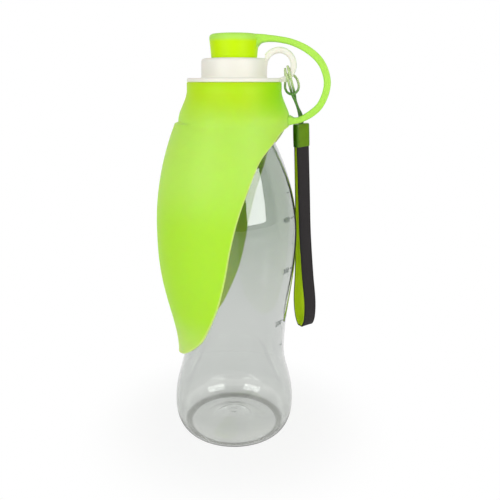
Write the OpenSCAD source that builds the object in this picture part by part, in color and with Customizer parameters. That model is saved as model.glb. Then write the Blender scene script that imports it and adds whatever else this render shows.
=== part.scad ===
// Dog travel water bottle, in millimetres. A clear squeeze bottle with a waist wears a soft leaf that hangs
// from its cap and flips up into a drinking bowl. The cap screws on with its liner, a soft plug on a tether
// stops the spout, and a wrist strap hangs from the cap's eyelet on a short hitched cord.
// Frame: the standing ring's centre is the origin, +Z runs up the bottle, +X points at the tether and eyelet,
// and the leaf's tip is on the -X side.

/* [Bottle] */
// Radius of the lower body, above the heel
heel_r = 35.5; // [32:0.5:40]
// Height of the heel's widest ring
heel_z = 16; // [12:1:20]
// Radius of the waist
waist_r = 29.8; // [26:0.2:31]
// Height of the waist
waist_z = 51; // [46:1:56]
// Radius of the upper bulge
bulge_r = 35.5; // [33:0.5:35.5]
// Height of the upper bulge
bulge_z = 119; // [112:1:124]
// Outer radius of the neck
neck_r = 14.5; // [13:0.25:15]
// Plain neck between the shoulder and the support ledge
neck_plain = 2; // [1:0.5:5]
// Wall of the blown body
body_wall = 1; // [0.6:0.1:1.6]
// Wall of the neck
neck_wall = 1.6; // [1.2:0.1:2.4]
// Radius of the standing ring
foot_r = 26.4; // [23:0.2:28]
// Width of the standing ring
foot_w = 1.8; // [1:0.2:3]
// Rise of the dome pushed up into the base
dome_h = 6; // [3:0.5:9]
// Radius of the support ledge under the neck's thread
ledge_r = 17.2; // [16:0.2:18]
// Thickness of the support ledge
ledge_t = 2; // [1.2:0.2:2.6]

/* [Thread] */
// Rise of the thread in one turn
pitch = 4; // [3.4:0.2:4.6]
// Height of a thread ridge above its wall
ridge_h = 1.1; // [0.7:0.1:1.2]
// Width of a ridge at its root
ridge_root = 1.9; // [1.4:0.1:2.2]
// Width of a ridge at its crest
ridge_crest = 1; // [0.6:0.1:1.3]
// Turns of thread on the neck and in the cap
turns = 1.75; // [1.25:0.25:2]
// Gap between a ridge's crest and the wall that it faces
thread_gap = 0.3; // [0.2:0.05:0.6]

/* [Cap] */
// Radius of the cap's upper drum
drum_r = 17.4; // [17:0.2:20]
// Height of the drum above the flange
drum_h = 9.9; // [8:0.1:12]
// Radius of the flange that covers the leaf's collar
flange_r = 25.1; // [23:0.1:27]
// Thickness of the flange
flange_t = 2; // [1.4:0.1:3]
// Height of the flange's underside
flange_z = 203.5; // [201:0.5:205]
// Thickness of the cap's top plate
plate_t = 2; // [1.4:0.1:2.6]
// Wall of the threaded skirt
skirt_wall = 2.1; // [1.6:0.1:2.6]
// Length of the skirt under the flange
skirt_h = 12; // [9:0.5:13]
// Height of the snap bead on the skirt, outwards
bead_h = 1.1; // [0.6:0.1:1.6]
// Radius of the drinking outlet
outlet_r = 8; // [6:0.25:8.5]
// Wall of the spout tube inside the cap
spout_wall = 1.8; // [1.2:0.1:2]
// Length of the spout tube below the cap's top
spout_h = 11; // [9:0.5:12]
// Thickness of the sealing liner
liner_t = 1.4; // [1:0.1:2]
// Gap at the liner's edges
liner_gap = 0.4; // [0.2:0.1:0.8]

/* [Eyelet] */
// Inner radius of the eyelet
eye_r = 6.1; // [5:0.1:6.5]
// Width of the eyelet's bar
eye_bar = 3.1; // [2.4:0.1:4]
// Depth of the eyelet, along Y
eye_depth = 4; // [3:0.2:5]

/* [Leaf bowl] */
// Wall of the leaf
leaf_wall = 1.7; // [1.2:0.1:2]
// Thickness of the collar's web, which the flange clamps
web_t = 4; // [3:0.25:5]
// Radius of the collar under the flange
collar_r = 25.2; // [24:0.1:27]
// Radius of the collar at the crease
crease_r = 30.2; // [28:0.2:32]
// Height of the collar, from the crease where the leaf folds up to the flange
collar_h = 20.5; // [18:0.5:22]
// Reach of the leaf at the crease, towards its tip
fold_reach = 32.2; // [31.4:0.2:34]
// Gap between the leaf's crown and the bottle's bulge, towards the tip
crown_gap = 6.6; // [5:0.1:10]
// Gap between the leaf's sides and the bottle's bulge
bulge_gap = 1.3; // [1:0.1:4]
// Height of the crown
crown_z = 125; // [118:1:130]
// Gap between the leaf's tip and the bottle's waist
tip_gap = 1.7; // [1.5:0.1:4]
// Gap between the leaf's sides and the bottle's waist
waist_gap = 0.9; // [0.6:0.1:2.5]
// Height of the tip
tip_z = 44; // [42:1:50]

/* [Plug and tether] */
// Radius of the plug's head
plug_r = 13; // [11:0.2:15]
// Radius of the plug where it rests on the cap
plug_seat_r = 12.1; // [10:0.2:13]
// Height of the plug above the cap
plug_h = 12.1; // [9:0.1:14]
// Height of the head's rolled band
band_h = 3.4; // [2.4:0.2:4.6]
// Length of the plug's stem in the spout
stem_h = 10.6; // [8:0.2:10.8]
// Radial gap around the stem's sealing beads
stem_gap = 0.06; // [0.02:0.01:0.1]
// Height of a sealing bead above the stem
seal_h = 0.5; // [0.3:0.1:0.8]
// Width of the tether
tether_w = 8; // [6:0.5:9]
// Thickness of the tether along its arch
tether_t = 3.6; // [2.8:0.1:4]
// Reach of the tether's arch from the bottle's axis
arch_reach = 49; // [46:0.5:54]
// Gap between the tether's end and the plug's tab
tab_gap = 0.3; // [0.1:0.1:0.6]

/* [Wrist strap] */
// Thickness of the hitched cord
cord_d = 1.3; // [1.1:0.1:1.4]
// Width of the strap
strap_w = 8; // [6:0.2:9]
// Thickness of each of the strap's two tapes
tape_t = 0.7; // [0.5:0.05:0.8]
// Length of the strap's loop below the ferrule
loop_h = 108; // [90:1:112]
// Half the gap across the loop's belly
belly_half = 5; // [3.5:0.1:7]
// Height of the ferrule
ferrule_h = 12.6; // [10:0.2:15]
// Wall of the ferrule at its sides
ferrule_wall = 0.5; // [0.4:0.1:1.2]
// Thickness of the ferrule's roof
ferrule_roof = 2; // [1.2:0.2:3]
// Gap around what sits in the ferrule
ferrule_gap = 0.1; // [0.1:0.05:0.3]
// Lean of the strap away from the bottle
strap_lean = 3.6; // [3.2:0.1:6]

/* [Hidden] */
$fn = 96;

// Heights that follow from the sizes above
cap_top_z = flange_z + flange_t + drum_h;
plate_z = cap_top_z - plate_t;
skirt_z = flange_z - skirt_h;
ledge_z = skirt_z - 1.5;
neck_z = ledge_z - ledge_t - neck_plain;
top_z = bulge_z + 0.8 * (neck_z - bulge_z);
lip_z = plate_z - liner_t;
web_z = flange_z - web_t;
crease_z = flange_z - collar_h;
plug_top_z = cap_top_z + plug_h;
band_z = plug_top_z - band_h;

// The turn from the shoulder into the neck: [share of the way in, share of the way up]
neck_turn = [[0.781, 0.902], [0.886, 0.942], [0.962, 0.976]];

// The threads: the neck's lies between the ledge and the liner, and the cap's runs half a pitch below it
cap_bore_r = neck_r + ridge_h + thread_gap;
skirt_r = cap_bore_r + skirt_wall;
neck_thread_z = ledge_z + pitch;
cap_thread_z = neck_thread_z - pitch / 2;
ridge_sink = 0.4;
ridge_steps = 24;
run_in = 40;

// The eyelet's centre lies one bar beyond the drum and one inner radius above the flange
eye_x = drum_r + eye_r + 0.15;
eye_z = flange_z + flange_t + eye_r + 0.2;

// The leaf's reach towards its tip, and its half widths, clear the bottle
crown_reach = bulge_r + crown_gap + leaf_wall;
crown_half = bulge_r + bulge_gap + leaf_wall;
tip_reach = waist_r + tip_gap + leaf_wall;
tip_half = waist_r + waist_gap + leaf_wall;

// The leaf's lower edge on one side, which the other side mirrors: [angle from the tip, share of the way from
// the tip's height up to the crease]
edge_steps = 2;
leaf_edge = [
    [0, 0],
    [25, 0.031],
    [50, 0.095],
    [66, 0.15],
    [77, 0.23],
    [86, 0.327],
    [92, 0.442],
    [96, 0.55],
    [102, 0.665],
    [111, 0.773],
    [122, 0.867],
    [137, 0.924],
    [155, 0.97],
    [180, 0.986]
];
lobe_rows = 12;
collar_rows = 5;
web_bore_r = skirt_r + 0.15;
collar_top_z = web_z - 1;

// The tether's centreline from the plug's tab out to the arch's furthest point, and from there back to its root
// in the collar: [share of the way out, share of the way down to the crease, share of the thickness]
tab_x = plug_r + 1;
tether_top_z = band_z + band_h / 2 - 0.8;
tether_out = [
    [0, 0, 0.89],
    [0.236, 0.005, 0.81],
    [0.438, 0.038, 0.83],
    [0.64, 0.107, 0.94],
    [0.804, 0.2, 1],
    [0.914, 0.305, 1],
    [0.98, 0.429, 1],
    [1, 0.548, 1]
];
tether_back = [
    [0.941, 0.681, 1],
    [0.798, 0.807, 1],
    [0.574, 0.898, 1],
    [0.298, 0.967, 0.86],
    [0.117, 0.984, 0.9],
    [-0.045, 0.978, 1.4]
];

// The cord's route from the eyelet's centre: out of the ferrule, up over the eyelet's bar, down behind it, round
// the bight and back
cord_run = [
    [11.35, 9.3, -31.4],
    [11.35, 9.15, -29],
    [10.9, 7.85, -25.4],
    [10.05, 5.4, -21.6],
    [8.7, 3.6, -18],
    [7.35, 2.25, -15.2],
    [6.45, 1.3, -12.4],
    [5.75, -0.9, -9.8],
    [5.05, -2.8, -7],
    [4.05, -2.9, -4.2],
    [3.45, -1.7, -2.4],
    [3.25, 0, -1.8],
    [3.15, 1.7, -2.4],
    [3.25, 2.9, -4.4],
    [3.35, 3.1, -7.2],
    [3.25, 2.6, -9.8],
    [3.55, 1.2, -11.7],
    [4.85, -0.3, -13.6],
    [7.15, -0.9, -14.5],
    [9.35, -0.3, -13.5],
    [10.45, 1.1, -11.6],
    [10.35, 2.5, -9.3],
    [9.25, 3.1, -6.6],
    [7.55, 3.2, -4.8],
    [5.95, 3, -3.4],
    [5.15, 2.6, -1.8],
    [4.65, 1.3, -0.8],
    [4.55, -0.1, -0.5],
    [4.75, -1.5, -0.9],
    [5.15, -2.6, -2.1],
    [5.75, -3.1, -4],
    [6.45, -3, -6.2],
    [7.25, -1.2, -9.4],
    [7.95, 0.8, -12.2],
    [8.55, 3.45, -15.2],
    [8.95, 5.25, -18],
    [10.2, 7.25, -21.6],
    [12.05, 9.25, -25.4],
    [12.65, 10, -29],
    [12.55, 10.3, -31.4]
];
cord_route = [for (q = cord_run) [eye_x, 0, eye_z] + q];
cord_sides = 8;

// The strap hangs from the ferrule's top, turned so that its face looks past the leaf
strap_top = [eye_x + 11.95, 9.8, eye_z - 30.2];
strap_turn = 39;
leg_gap = 0.3;
leg_mid = leg_gap / 2 + tape_t;
ferrule_in_w = strap_w + 2 * ferrule_gap;
ferrule_in_t = 4 * tape_t + leg_gap + 2 * ferrule_gap;
ferrule_w = ferrule_in_w + 2 * ferrule_wall;
ferrule_t = ferrule_in_t + 2 * ferrule_wall;
strap_side = [
    [leg_mid, -ferrule_roof - ferrule_gap],
    [leg_mid, -ferrule_h],
    [leg_mid + 0.3, -ferrule_h - 0.24 * loop_h],
    [leg_mid + 0.6, -ferrule_h - 0.46 * loop_h],
    [belly_half - 1.8, -ferrule_h - 0.69 * loop_h],
    [belly_half, -ferrule_h - 0.84 * loop_h],
    [belly_half - 0.7, -ferrule_h - 0.94 * loop_h],
    [belly_half - 3, -ferrule_h - 0.99 * loop_h]
];

// A point on the smooth curve through b and c
function between(a, b, c, d, t) =
    0.5 * (2 * b + (c - a) * t + (2 * a - 5 * b + 4 * c - d) * t * t + (3 * b - a - 3 * c + d) * t * t * t);

// The smooth curve through a list of points, with some steps in each gap
function smooth(p, steps) = [
    for (i = [0 : len(p) - 2])
        for (k = [0 : steps - 1])
            between(p[max(i - 1, 0)], p[i], p[i + 1], p[min(i + 2, len(p) - 1)], k / steps),
    p[len(p) - 1]
];

// An arc's points, from angle a to angle b
function arc(centre, r, a, b, steps) = [
    for (k = [0 : steps])
        centre + r * [cos(a + (b - a) * k / steps), sin(a + (b - a) * k / steps)]
];

// A list in the opposite order
function backwards(p) = [for (i = [len(p) - 1 : -1 : 0]) p[i]];

// A rise from 0 to 1 that starts and ends level
function ease(t) = (1 - cos(180 * t)) / 2;

// The direction square to a flat path at one of its points, to the path's left
function path_left(p, i) =
    let (d = p[min(i + 1, len(p) - 1)] - p[max(i - 1, 0)])
    [-d[1], d[0]] / norm([d[0], d[1]]);

// A flat path moved to its left
function moved_left(p, gap) = [for (i = [0 : len(p) - 1]) [p[i][0], p[i][1]] + gap * path_left(p, i)];

// A closed skin over rings of points that join end to end, or that are capped
function ring_faces(rings, sides, joined) = [
    for (j = [0 : rings - (joined ? 1 : 2)])
        for (i = [0 : sides - 1])
            let (a = j * sides + i, b = j * sides + (i + 1) % sides)
            let (c = ((j + 1) % rings) * sides + i, d = ((j + 1) % rings) * sides + (i + 1) % sides)
            each [[a, b, d], [a, d, c]]
];

// The two flat ends of a row of rings
function end_faces(rings, sides) = [
    [for (i = [sides - 1 : -1 : 0]) i],
    [for (i = [0 : sides - 1]) (rings - 1) * sides + i]
];

// A helical ridge: positive height stands outwards from its wall, negative inwards
module ridge(wall_r, height, z) {
    side = height > 0 ? 1 : -1;
    count = round(turns * ridge_steps);
    rings = [
        for (k = [0 : count])
            let (a = 360 * k / ridge_steps, lead = min(a, 360 * turns - a) / run_in)
            let (tip = wall_r + height * min(1, max(lead, 0)), root = wall_r - side * ridge_sink)
            let (mid = z + pitch * a / 360, crest = ridge_crest / 2, base = ridge_root / 2)
            for (q = [[root, -base], [tip, -crest], [tip, crest], [root, base]])
                [q[0] * cos(a), q[0] * sin(a), mid + q[1]]
    ];
    faces = concat(ring_faces(count + 1, 4, false), end_faces(count + 1, 4));
    polyhedron(rings, side > 0 ? faces : [for (f = faces) backwards(f)]);
}

// The bottle's outer line from the standing ring up to the neck
function bottle_line() = concat(
    [for (a = [0 : 10 : 80]) [foot_r + foot_w / 2 + (heel_r - foot_r - foot_w / 2) * sin(a), heel_z * (1 - cos(a))]],
    [for (t = [0 : 0.1 : 0.95]) [heel_r + (waist_r - heel_r) * ease(pow(t, 1.2)), heel_z + (waist_z - heel_z) * t]],
    [for (t = [0 : 0.08 : 0.99]) [waist_r + (bulge_r - waist_r) * ease(t), waist_z + (bulge_z - waist_z) * t]],
    [
        for (q = concat([for (t = [0 : 0.08 : 0.82]) [t * t, t]], neck_turn))
            [bulge_r + (neck_r - bulge_r) * q[0], bulge_z + (neck_z - bulge_z) * q[1]]
    ]
);

// The whole blown bottle, which is two nodes that meet at top_z, high on the shoulder
module blown_bottle() {
    outer = bottle_line();
    inner = moved_left(outer, body_wall);
    dome_r = foot_r - foot_w / 2;
    difference() {
        union() {
            rotate_extrude()
                polygon(concat(
                    [[0, dome_h]],
                    [for (t = [0.2 : 0.2 : 0.8]) [dome_r * t, dome_h * ease(1 - t)]],
                    [[dome_r, 0]],
                    outer,
                    [
                        [neck_r, neck_z],
                        [neck_r, ledge_z - ledge_t],
                        [ledge_r, ledge_z - ledge_t + 0.4],
                        [ledge_r, ledge_z],
                        [neck_r, ledge_z],
                        [neck_r, lip_z - 0.5],
                        [neck_r - 0.5, lip_z],
                        [0, lip_z]
                    ]
                ));
            ridge(neck_r, ridge_h, neck_thread_z);
        }
        rotate_extrude()
            polygon(concat(
                [[0, dome_h + 1.5 * body_wall]],
                [for (t = [0.2 : 0.2 : 0.8]) [dome_r * t, dome_h * ease(1 - t) + 1.5 * body_wall]],
                [for (p = inner) if (p[1] > 1.5 * body_wall && p[0] > neck_r - neck_wall) p],
                [
                    [neck_r - neck_wall, neck_z],
                    [neck_r - neck_wall, lip_z + 1],
                    [0, lip_z + 1]
                ]
            ));
    }
}

module bottle() {
    color([0.72, 0.76, 0.74, 0.4])
        difference() {
            blown_bottle();
            translate([0, 0, top_z])
                cylinder(h = lip_z, r = 2 * bulge_r);
        }
}

module bottle_top() {
    color([0.72, 0.76, 0.74, 0.4])
        intersection() {
            blown_bottle();
            translate([0, 0, top_z])
                cylinder(h = lip_z, r = 2 * bulge_r);
        }
}

module cap_liner() {
    color([0.9, 0.91, 0.88])
        translate([0, 0, plate_z - liner_t])
        difference() {
            cylinder(h = liner_t, r = cap_bore_r - liner_gap);
            translate([0, 0, -1])
                cylinder(h = liner_t + 2, r = outlet_r + spout_wall + liner_gap);
        }
}

module cap_shell() {
    rotate_extrude()
        polygon(concat(
            [
                [cap_bore_r, skirt_z],
                [skirt_r, skirt_z],
                [skirt_r, web_z - 3.4],
                [skirt_r + bead_h, web_z - 2.4],
                [skirt_r + bead_h, web_z - 1],
                [skirt_r, web_z - 0.2],
                [skirt_r, flange_z]
            ],
            arc([flange_r - 0.5, flange_z + 0.5], 0.5, -90, 0, 4),
            arc([flange_r - 0.7, flange_z + flange_t - 0.7], 0.7, 0, 90, 4),
            arc([drum_r + 0.8, flange_z + flange_t + 0.8], 0.8, 270, 180, 4),
            arc([drum_r - 1.8, cap_top_z - 1.8], 1.8, 0, 90, 6),
            arc([outlet_r + 0.5, cap_top_z - 0.5], 0.5, 90, 180, 3),
            [
                [outlet_r, cap_top_z - spout_h],
                [outlet_r + spout_wall, cap_top_z - spout_h],
                [outlet_r + spout_wall, plate_z],
                [cap_bore_r, plate_z]
            ]
        ));
}

// A ring of rounded bar in the tether's plane, with its lower left filled out to the drum and the flange
module eyelet() {
    soft = 1;
    mid = eye_r + eye_bar / 2;
    difference() {
        translate([eye_x, 0, eye_z])
            rotate([90, 0, 0])
            rotate_extrude()
            translate([mid, 0])
            polygon(concat(
                arc([eye_bar / 2 - soft, eye_depth / 2 - soft], soft, 0, 90, 4),
                arc([-eye_bar / 2 + soft, eye_depth / 2 - soft], soft, 90, 180, 4),
                arc([-eye_bar / 2 + soft, -eye_depth / 2 + soft], soft, 180, 270, 4),
                arc([eye_bar / 2 - soft, -eye_depth / 2 + soft], soft, 270, 360, 4)
            ));
        translate([drum_r - 1 - 2 * eye_r, -eye_depth, flange_z])
            cube([2 * eye_r, 2 * eye_depth, 4 * eye_r]);
        translate([drum_r - 1, -eye_depth, flange_z - 2 * eye_r])
            cube([4 * eye_r, 2 * eye_depth, 2 * eye_r]);
        translate([drum_r - 2, -eye_depth, flange_z + flange_t])
            cube([eye_x - drum_r + 2, 2 * eye_depth, eye_z - flange_z - flange_t]);
    }
}

module cap() {
    color([0.945, 0.94, 0.9])
        union() {
            cap_shell();
            eyelet();
            ridge(cap_bore_r, -ridge_h, cap_thread_z);
        }
}

// How far the leaf stands from the axis: a circle pushed towards the tip, so that it reaches so far at the
// tip and is so wide at its sides
function lobe_radius(angle, z) =
    let (up = min(1, max(0, (crease_z - 1 - z) / (crease_z - 1 - crown_z))))
    let (down = min(1, max(0, (crown_z - z) / (crown_z - tip_z - 6))))
    let (rise = 1 - (1 - up) * (1 - up), fall = ease(pow(down, 1.35)))
    let (reach = fold_reach + (crown_reach - fold_reach) * rise - (crown_reach - tip_reach) * fall)
    let (half = fold_reach - 1.2 + (crown_half - fold_reach + 1.2) * rise - (crown_half - tip_half) * fall)
    let (push = (reach - half * half / reach) / 2)
    push * cos(angle) + sqrt(pow(reach - push, 2) - pow(push * sin(angle), 2));

// The collar's radius, which narrows from the crease up to the flange
function collar_radius(z) =
    crease_r + (collar_r - crease_r) * ease(min(1, max(0, (z - crease_z) / (flange_z - crease_z - 3.5))));

// One upright slice of the leaf, as a closed loop of points in [radius, height]
function leaf_slice(angle, low_z) =
    let (lobe = [
        for (k = [0 : lobe_rows - 1])
            let (z = low_z + (crease_z - 1 - low_z) * k / (lobe_rows - 1))
            [lobe_radius(angle, z), z]
    ])
    let (collar = [
        for (k = [0 : collar_rows])
            let (z = crease_z + (collar_top_z - crease_z) * k / collar_rows)
            [collar_radius(z), z]
    ])
    concat(
        lobe,
        collar,
        [[collar_r, flange_z - 0.4], [collar_r - 0.4, flange_z], [web_bore_r, flange_z], [web_bore_r, web_z]],
        [[collar_r - leaf_wall - 0.6, web_z]],
        [for (q = backwards(collar)) [q[0] - leaf_wall, q[1]]],
        [for (q = backwards(lobe)) [q[0] - leaf_wall, q[1]]]
    );

module leaf_bowl() {
    half = smooth(leaf_edge, edge_steps);
    edge = concat(half, [for (k = [len(half) - 2 : -1 : 1]) [360 - half[k][0], half[k][1]]]);
    slices = [for (e = edge) leaf_slice(e[0], tip_z + (crease_z - tip_z) * e[1])];
    sides = len(slices[0]);
    points = [
        for (j = [0 : len(edge) - 1])
            for (q = slices[j])
                [-q[0] * cos(edge[j][0]), -q[0] * sin(edge[j][0]), q[1]]
    ];
    color([0.72, 0.93, 0.34])
        polyhedron(points, ring_faces(len(edge), sides, true));
}

// Some of the tether's points in [x, height, thickness], with the way out counted from a given x
function tether_points(list, from_x) = [
    for (q = list)
        [from_x + (arch_reach - from_x) * q[0], tether_top_z - (tether_top_z - crease_z) * q[1], tether_t * q[2]]
];

module plug_tether() {
    path = smooth(concat(tether_points(tether_out, tab_x + tab_gap), tether_points(tether_back, crease_r)), 4);
    line = [for (p = path) [p[0], p[1]]];
    left = [for (i = [0 : len(path) - 1]) line[i] + path_left(line, i) * path[i][2] / 2];
    right = [for (i = [0 : len(path) - 1]) line[i] - path_left(line, i) * path[i][2] / 2];
    color([0.73, 0.93, 0.43])
        rotate([90, 0, 0])
        linear_extrude(height = tether_w, center = true)
        polygon(concat(left, backwards(right)));
}

module spout_plug() {
    seal_r = outlet_r - stem_gap;
    stem_r = seal_r - seal_h;
    stem_z = cap_top_z - stem_h;
    color([0.8, 0.96, 0.1])
        union() {
            rotate_extrude()
                polygon(concat(
                    [[0, stem_z], [stem_r - 0.6, stem_z], [stem_r, stem_z + 0.6]],
                    [for (z = [stem_z + 2, stem_z + 6]) each [
                        [stem_r, z],
                        [seal_r, z + 0.6],
                        [seal_r, z + 1.2],
                        [stem_r, z + 1.8]
                    ]],
                    [[stem_r, cap_top_z], [plug_seat_r - 0.6, cap_top_z], [plug_seat_r, cap_top_z + 0.6]],
                    [[plug_r - 0.2, band_z], [plug_r, band_z + 0.2]],
                    arc([plug_r - 1.8, plug_top_z - 1.8], 1.8, 0, 90, 5),
                    [[0, plug_top_z]]
                ));
            translate([plug_r - 2, -tether_w / 2, tether_top_z - tether_t / 2 + 0.2])
                cube([tab_x - plug_r + 2, tether_w, tether_t - 0.4]);
        }
}

// A round cord along a route, each ring square to the route
module cord_tube(route, d) {
    count = len(route);
    rings = [
        for (i = [0 : count - 1])
            let (run = route[min(i + 1, count - 1)] - route[max(i - 1, 0)])
            let (ahead = run / norm(run))
            let (across = cross(ahead, [0.83, 0.11, 0.55]))
            let (u = across / norm(across), v = cross(ahead, u))
            for (k = [0 : cord_sides - 1])
                route[i] + d / 2 * (cos(360 * k / cord_sides) * u + sin(360 * k / cord_sides) * v)
    ];
    polyhedron(rings, [for (f = concat(ring_faces(count, cord_sides, false), end_faces(count, cord_sides))) backwards(f)]);
}

module hitch_cord() {
    color([0.45, 0.75, 0.2])
        cord_tube(smooth(cord_route, 2), cord_d);
}

// What hangs from the ferrule's top: X across the strap's width, Y through its thickness
module hung() {
    translate(strap_top)
        rotate([0, -strap_lean, strap_turn])
        children();
}

module cord_ferrule() {
    soft = 0.9;
    color([0.4, 0.53, 0.02])
        hung()
        difference() {
            translate([0, 0, -ferrule_h])
                linear_extrude(height = ferrule_h)
                polygon(concat(
                    arc([ferrule_w / 2 - soft, ferrule_t / 2 - soft], soft, 0, 90, 4),
                    arc([-ferrule_w / 2 + soft, ferrule_t / 2 - soft], soft, 90, 180, 4),
                    arc([-ferrule_w / 2 + soft, -ferrule_t / 2 + soft], soft, 180, 270, 4),
                    arc([ferrule_w / 2 - soft, -ferrule_t / 2 + soft], soft, 270, 360, 4)
                ));
            translate([-ferrule_in_w / 2, -ferrule_in_t / 2, -ferrule_h - 1])
                cube([ferrule_in_w, ferrule_in_t, ferrule_h - ferrule_roof + 1]);
            translate([0, 0, -ferrule_roof - 1])
                linear_extrude(height = ferrule_roof + 2)
                square(2.4 * cord_d, center = true);
        }
}

// The loop's middle line, down one leg and up the other
function loop_line() =
    let (down = smooth(strap_side, 4))
    let (foot = [[0, -ferrule_h - loop_h + tape_t]])
    concat([for (p = down) [-p[0], p[1]]], foot, backwards(down));

module tape(inside, outside) {
    line = loop_line();
    hung()
        rotate([90, 0, 90])
        translate([0, 0, -strap_w / 2])
        linear_extrude(height = strap_w)
        polygon(concat(moved_left(line, inside), backwards(moved_left(line, outside))));
}

module strap_outer_tape() {
    color([0.2, 0.2, 0.2])
        tape(0, -tape_t);
}

module strap_inner_tape() {
    color([0.71, 0.85, 0.13])
        tape(tape_t, 0);
}

bottle();
bottle_top();
cap_liner();
cap();
leaf_bowl();
plug_tether();
spout_plug();
hitch_cord();
cord_ferrule();
strap_outer_tape();
strap_inner_tape();
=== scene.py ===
"""Dog travel water bottle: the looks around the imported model, in metres.

The stage and the cord come first, then the bottle, the leaf bowl, the plug with its tether, the cap and the
wrist strap. The frame: the centre of the bottle's standing ring is the origin, +Z runs up the bottle, +X
points at the tether and the eyelet, and the leaf's tip is on the -X side.
"""
import math

import bpy
import numpy as np
from mathutils import Matrix, Vector


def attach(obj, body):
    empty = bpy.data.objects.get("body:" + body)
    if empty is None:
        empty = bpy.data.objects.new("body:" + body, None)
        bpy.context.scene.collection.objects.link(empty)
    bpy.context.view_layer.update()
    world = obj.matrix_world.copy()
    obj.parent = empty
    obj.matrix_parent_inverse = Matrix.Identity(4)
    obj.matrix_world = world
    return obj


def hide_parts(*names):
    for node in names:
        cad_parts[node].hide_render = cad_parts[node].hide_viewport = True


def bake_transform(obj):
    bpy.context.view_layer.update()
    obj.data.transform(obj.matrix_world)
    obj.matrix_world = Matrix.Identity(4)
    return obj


bl_info = {
    "name": "Dog travel water bottle",
    "version": (1, 0, 0),
    "blender": (4, 5, 0),
    "location": "View3D > Sidebar > Water bottle",
    "description": "Builds the looks of a dog's travel water bottle around its packed model",
    "category": "Object",
}

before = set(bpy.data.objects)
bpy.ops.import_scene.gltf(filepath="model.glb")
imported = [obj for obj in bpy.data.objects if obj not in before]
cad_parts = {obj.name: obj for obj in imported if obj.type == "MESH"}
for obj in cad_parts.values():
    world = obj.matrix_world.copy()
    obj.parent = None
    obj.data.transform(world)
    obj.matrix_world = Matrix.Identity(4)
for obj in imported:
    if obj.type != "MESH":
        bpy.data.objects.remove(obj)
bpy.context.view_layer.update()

MM = 0.001

# Heights of the cap, the plug and the leaf: its web, the crease below its collar, and its tip
FLANGE_Z, CAP_TOP_Z = 0.2035, 0.2154
PLUG_TOP_Z, BAND_Z = 0.2275, 0.2241
WEB_Z, CREASE_Z, TIP_Z = 0.1995, 0.183, 0.044

# The eyelet's centre, which the cord is hitched through
EYE = Vector((0.02365, 0, 0.2118))

# The cord's route from the eyelet's centre: out of the ferrule, up over the eyelet's bar, down behind it,
# round the bight and back
CORD_RUN = (
    (0.01135, 0.0093, -0.0314), (0.01135, 0.00915, -0.029), (0.0109, 0.00785, -0.0254),
    (0.01005, 0.0054, -0.0216), (0.0087, 0.0036, -0.018), (0.00735, 0.00225, -0.0152),
    (0.00645, 0.0013, -0.0124), (0.00575, -0.0009, -0.0098), (0.00505, -0.0028, -0.007),
    (0.00405, -0.0029, -0.0042), (0.00345, -0.0017, -0.0024), (0.00325, 0, -0.0018),
    (0.00315, 0.0017, -0.0024), (0.00325, 0.0029, -0.0044), (0.00335, 0.0031, -0.0072),
    (0.00325, 0.0026, -0.0098), (0.00355, 0.0012, -0.0117), (0.00485, -0.0003, -0.0136),
    (0.00715, -0.0009, -0.0145), (0.00935, -0.0003, -0.0135), (0.01045, 0.0011, -0.0116),
    (0.01035, 0.0025, -0.0093), (0.00925, 0.0031, -0.0066), (0.00755, 0.0032, -0.0048),
    (0.00595, 0.003, -0.0034), (0.00515, 0.0026, -0.0018), (0.00465, 0.0013, -0.0008),
    (0.00455, -0.0001, -0.0005), (0.00475, -0.0015, -0.0009), (0.00515, -0.0026, -0.0021),
    (0.00575, -0.0031, -0.004), (0.00645, -0.003, -0.0062), (0.00725, -0.0012, -0.0094),
    (0.00795, 0.0008, -0.0122), (0.00855, 0.00345, -0.0152), (0.00895, 0.00525, -0.018),
    (0.0102, 0.00725, -0.0216), (0.01205, 0.00925, -0.0254), (0.01265, 0.01, -0.029),
    (0.01255, 0.0103, -0.0314),
)

# The strap hangs from here, turned about +Z and leaning away from the bottle
STRAP_TOP = EYE + Vector((0.01195, 0.0098, -0.0302))
STRAP_TURN, STRAP_LEAN = math.radians(39), math.radians(3.6)


def srgb(red, green, blue):
    """A colour read off a screen, 0 to 255, as the linear values that a shader takes."""
    shares = (red / 255, green / 255, blue / 255)
    return tuple(c / 12.92 if c <= 0.04045 else ((c + 0.055) / 1.055) ** 2.4 for c in shares)


def length(name, description, default, low, high):
    return bpy.props.FloatProperty(
        name=name, description=description, default=default, min=low, max=high, unit="LENGTH", precision=5
    )


def amount(name, description, default, low, high):
    return bpy.props.FloatProperty(name=name, description=description, default=default, min=low, max=high)


def colour(name, description, default):
    return bpy.props.FloatVectorProperty(
        name=name, description=description, default=default, min=0, max=1, size=3, subtype="COLOR"
    )


class StageLook(bpy.types.PropertyGroup):
    floor: colour("Floor", "Colour of the floor", (0.9, 0.9, 0.9))
    sky: amount("Sky", "Strength of the light from all round", 0.46, 0, 2)
    left: amount("Left soft box", "Power of the soft box on the camera's left", 3.7, 0, 20)
    right: amount("Right soft box", "Power of the soft box on the camera's right", 3.7, 0, 20)
    glint: amount("Glint", "Further power that only gloss and glass see in each soft box", 3.4, 0, 20)


class BottleLook(bpy.types.PropertyGroup):
    # The tint deepens higher on the body as a painted reflection of darker surroundings, not a thicker wall
    tint: colour("Tint", "Colour that the thick upper wall lends to what shows through it", (0.6, 0.645, 0.6))
    low_tint: colour("Lower tint", "Colour that the thinner lower wall lends", (0.75, 0.765, 0.75))
    # The heel's paler tint is painted light that brightens the base over the floor's shadow
    heel_tint: colour("Heel tint", "Colour that the heel and base lend", (0.87, 0.88, 0.86))
    wall: length("Wall", "Thickness of the blown wall", 0.001, 0.0006, 0.0016)
    neck_wall: length("Neck wall", "Thickness of the neck's wall", 0.0016, 0.0012, 0.0024)
    ink: colour("Scale ink", "Colour of the printed scale", srgb(70, 80, 74))
    tick: length("Tick height", "Height of each line of the scale", 0.0004, 0.0002, 0.0008)


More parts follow.
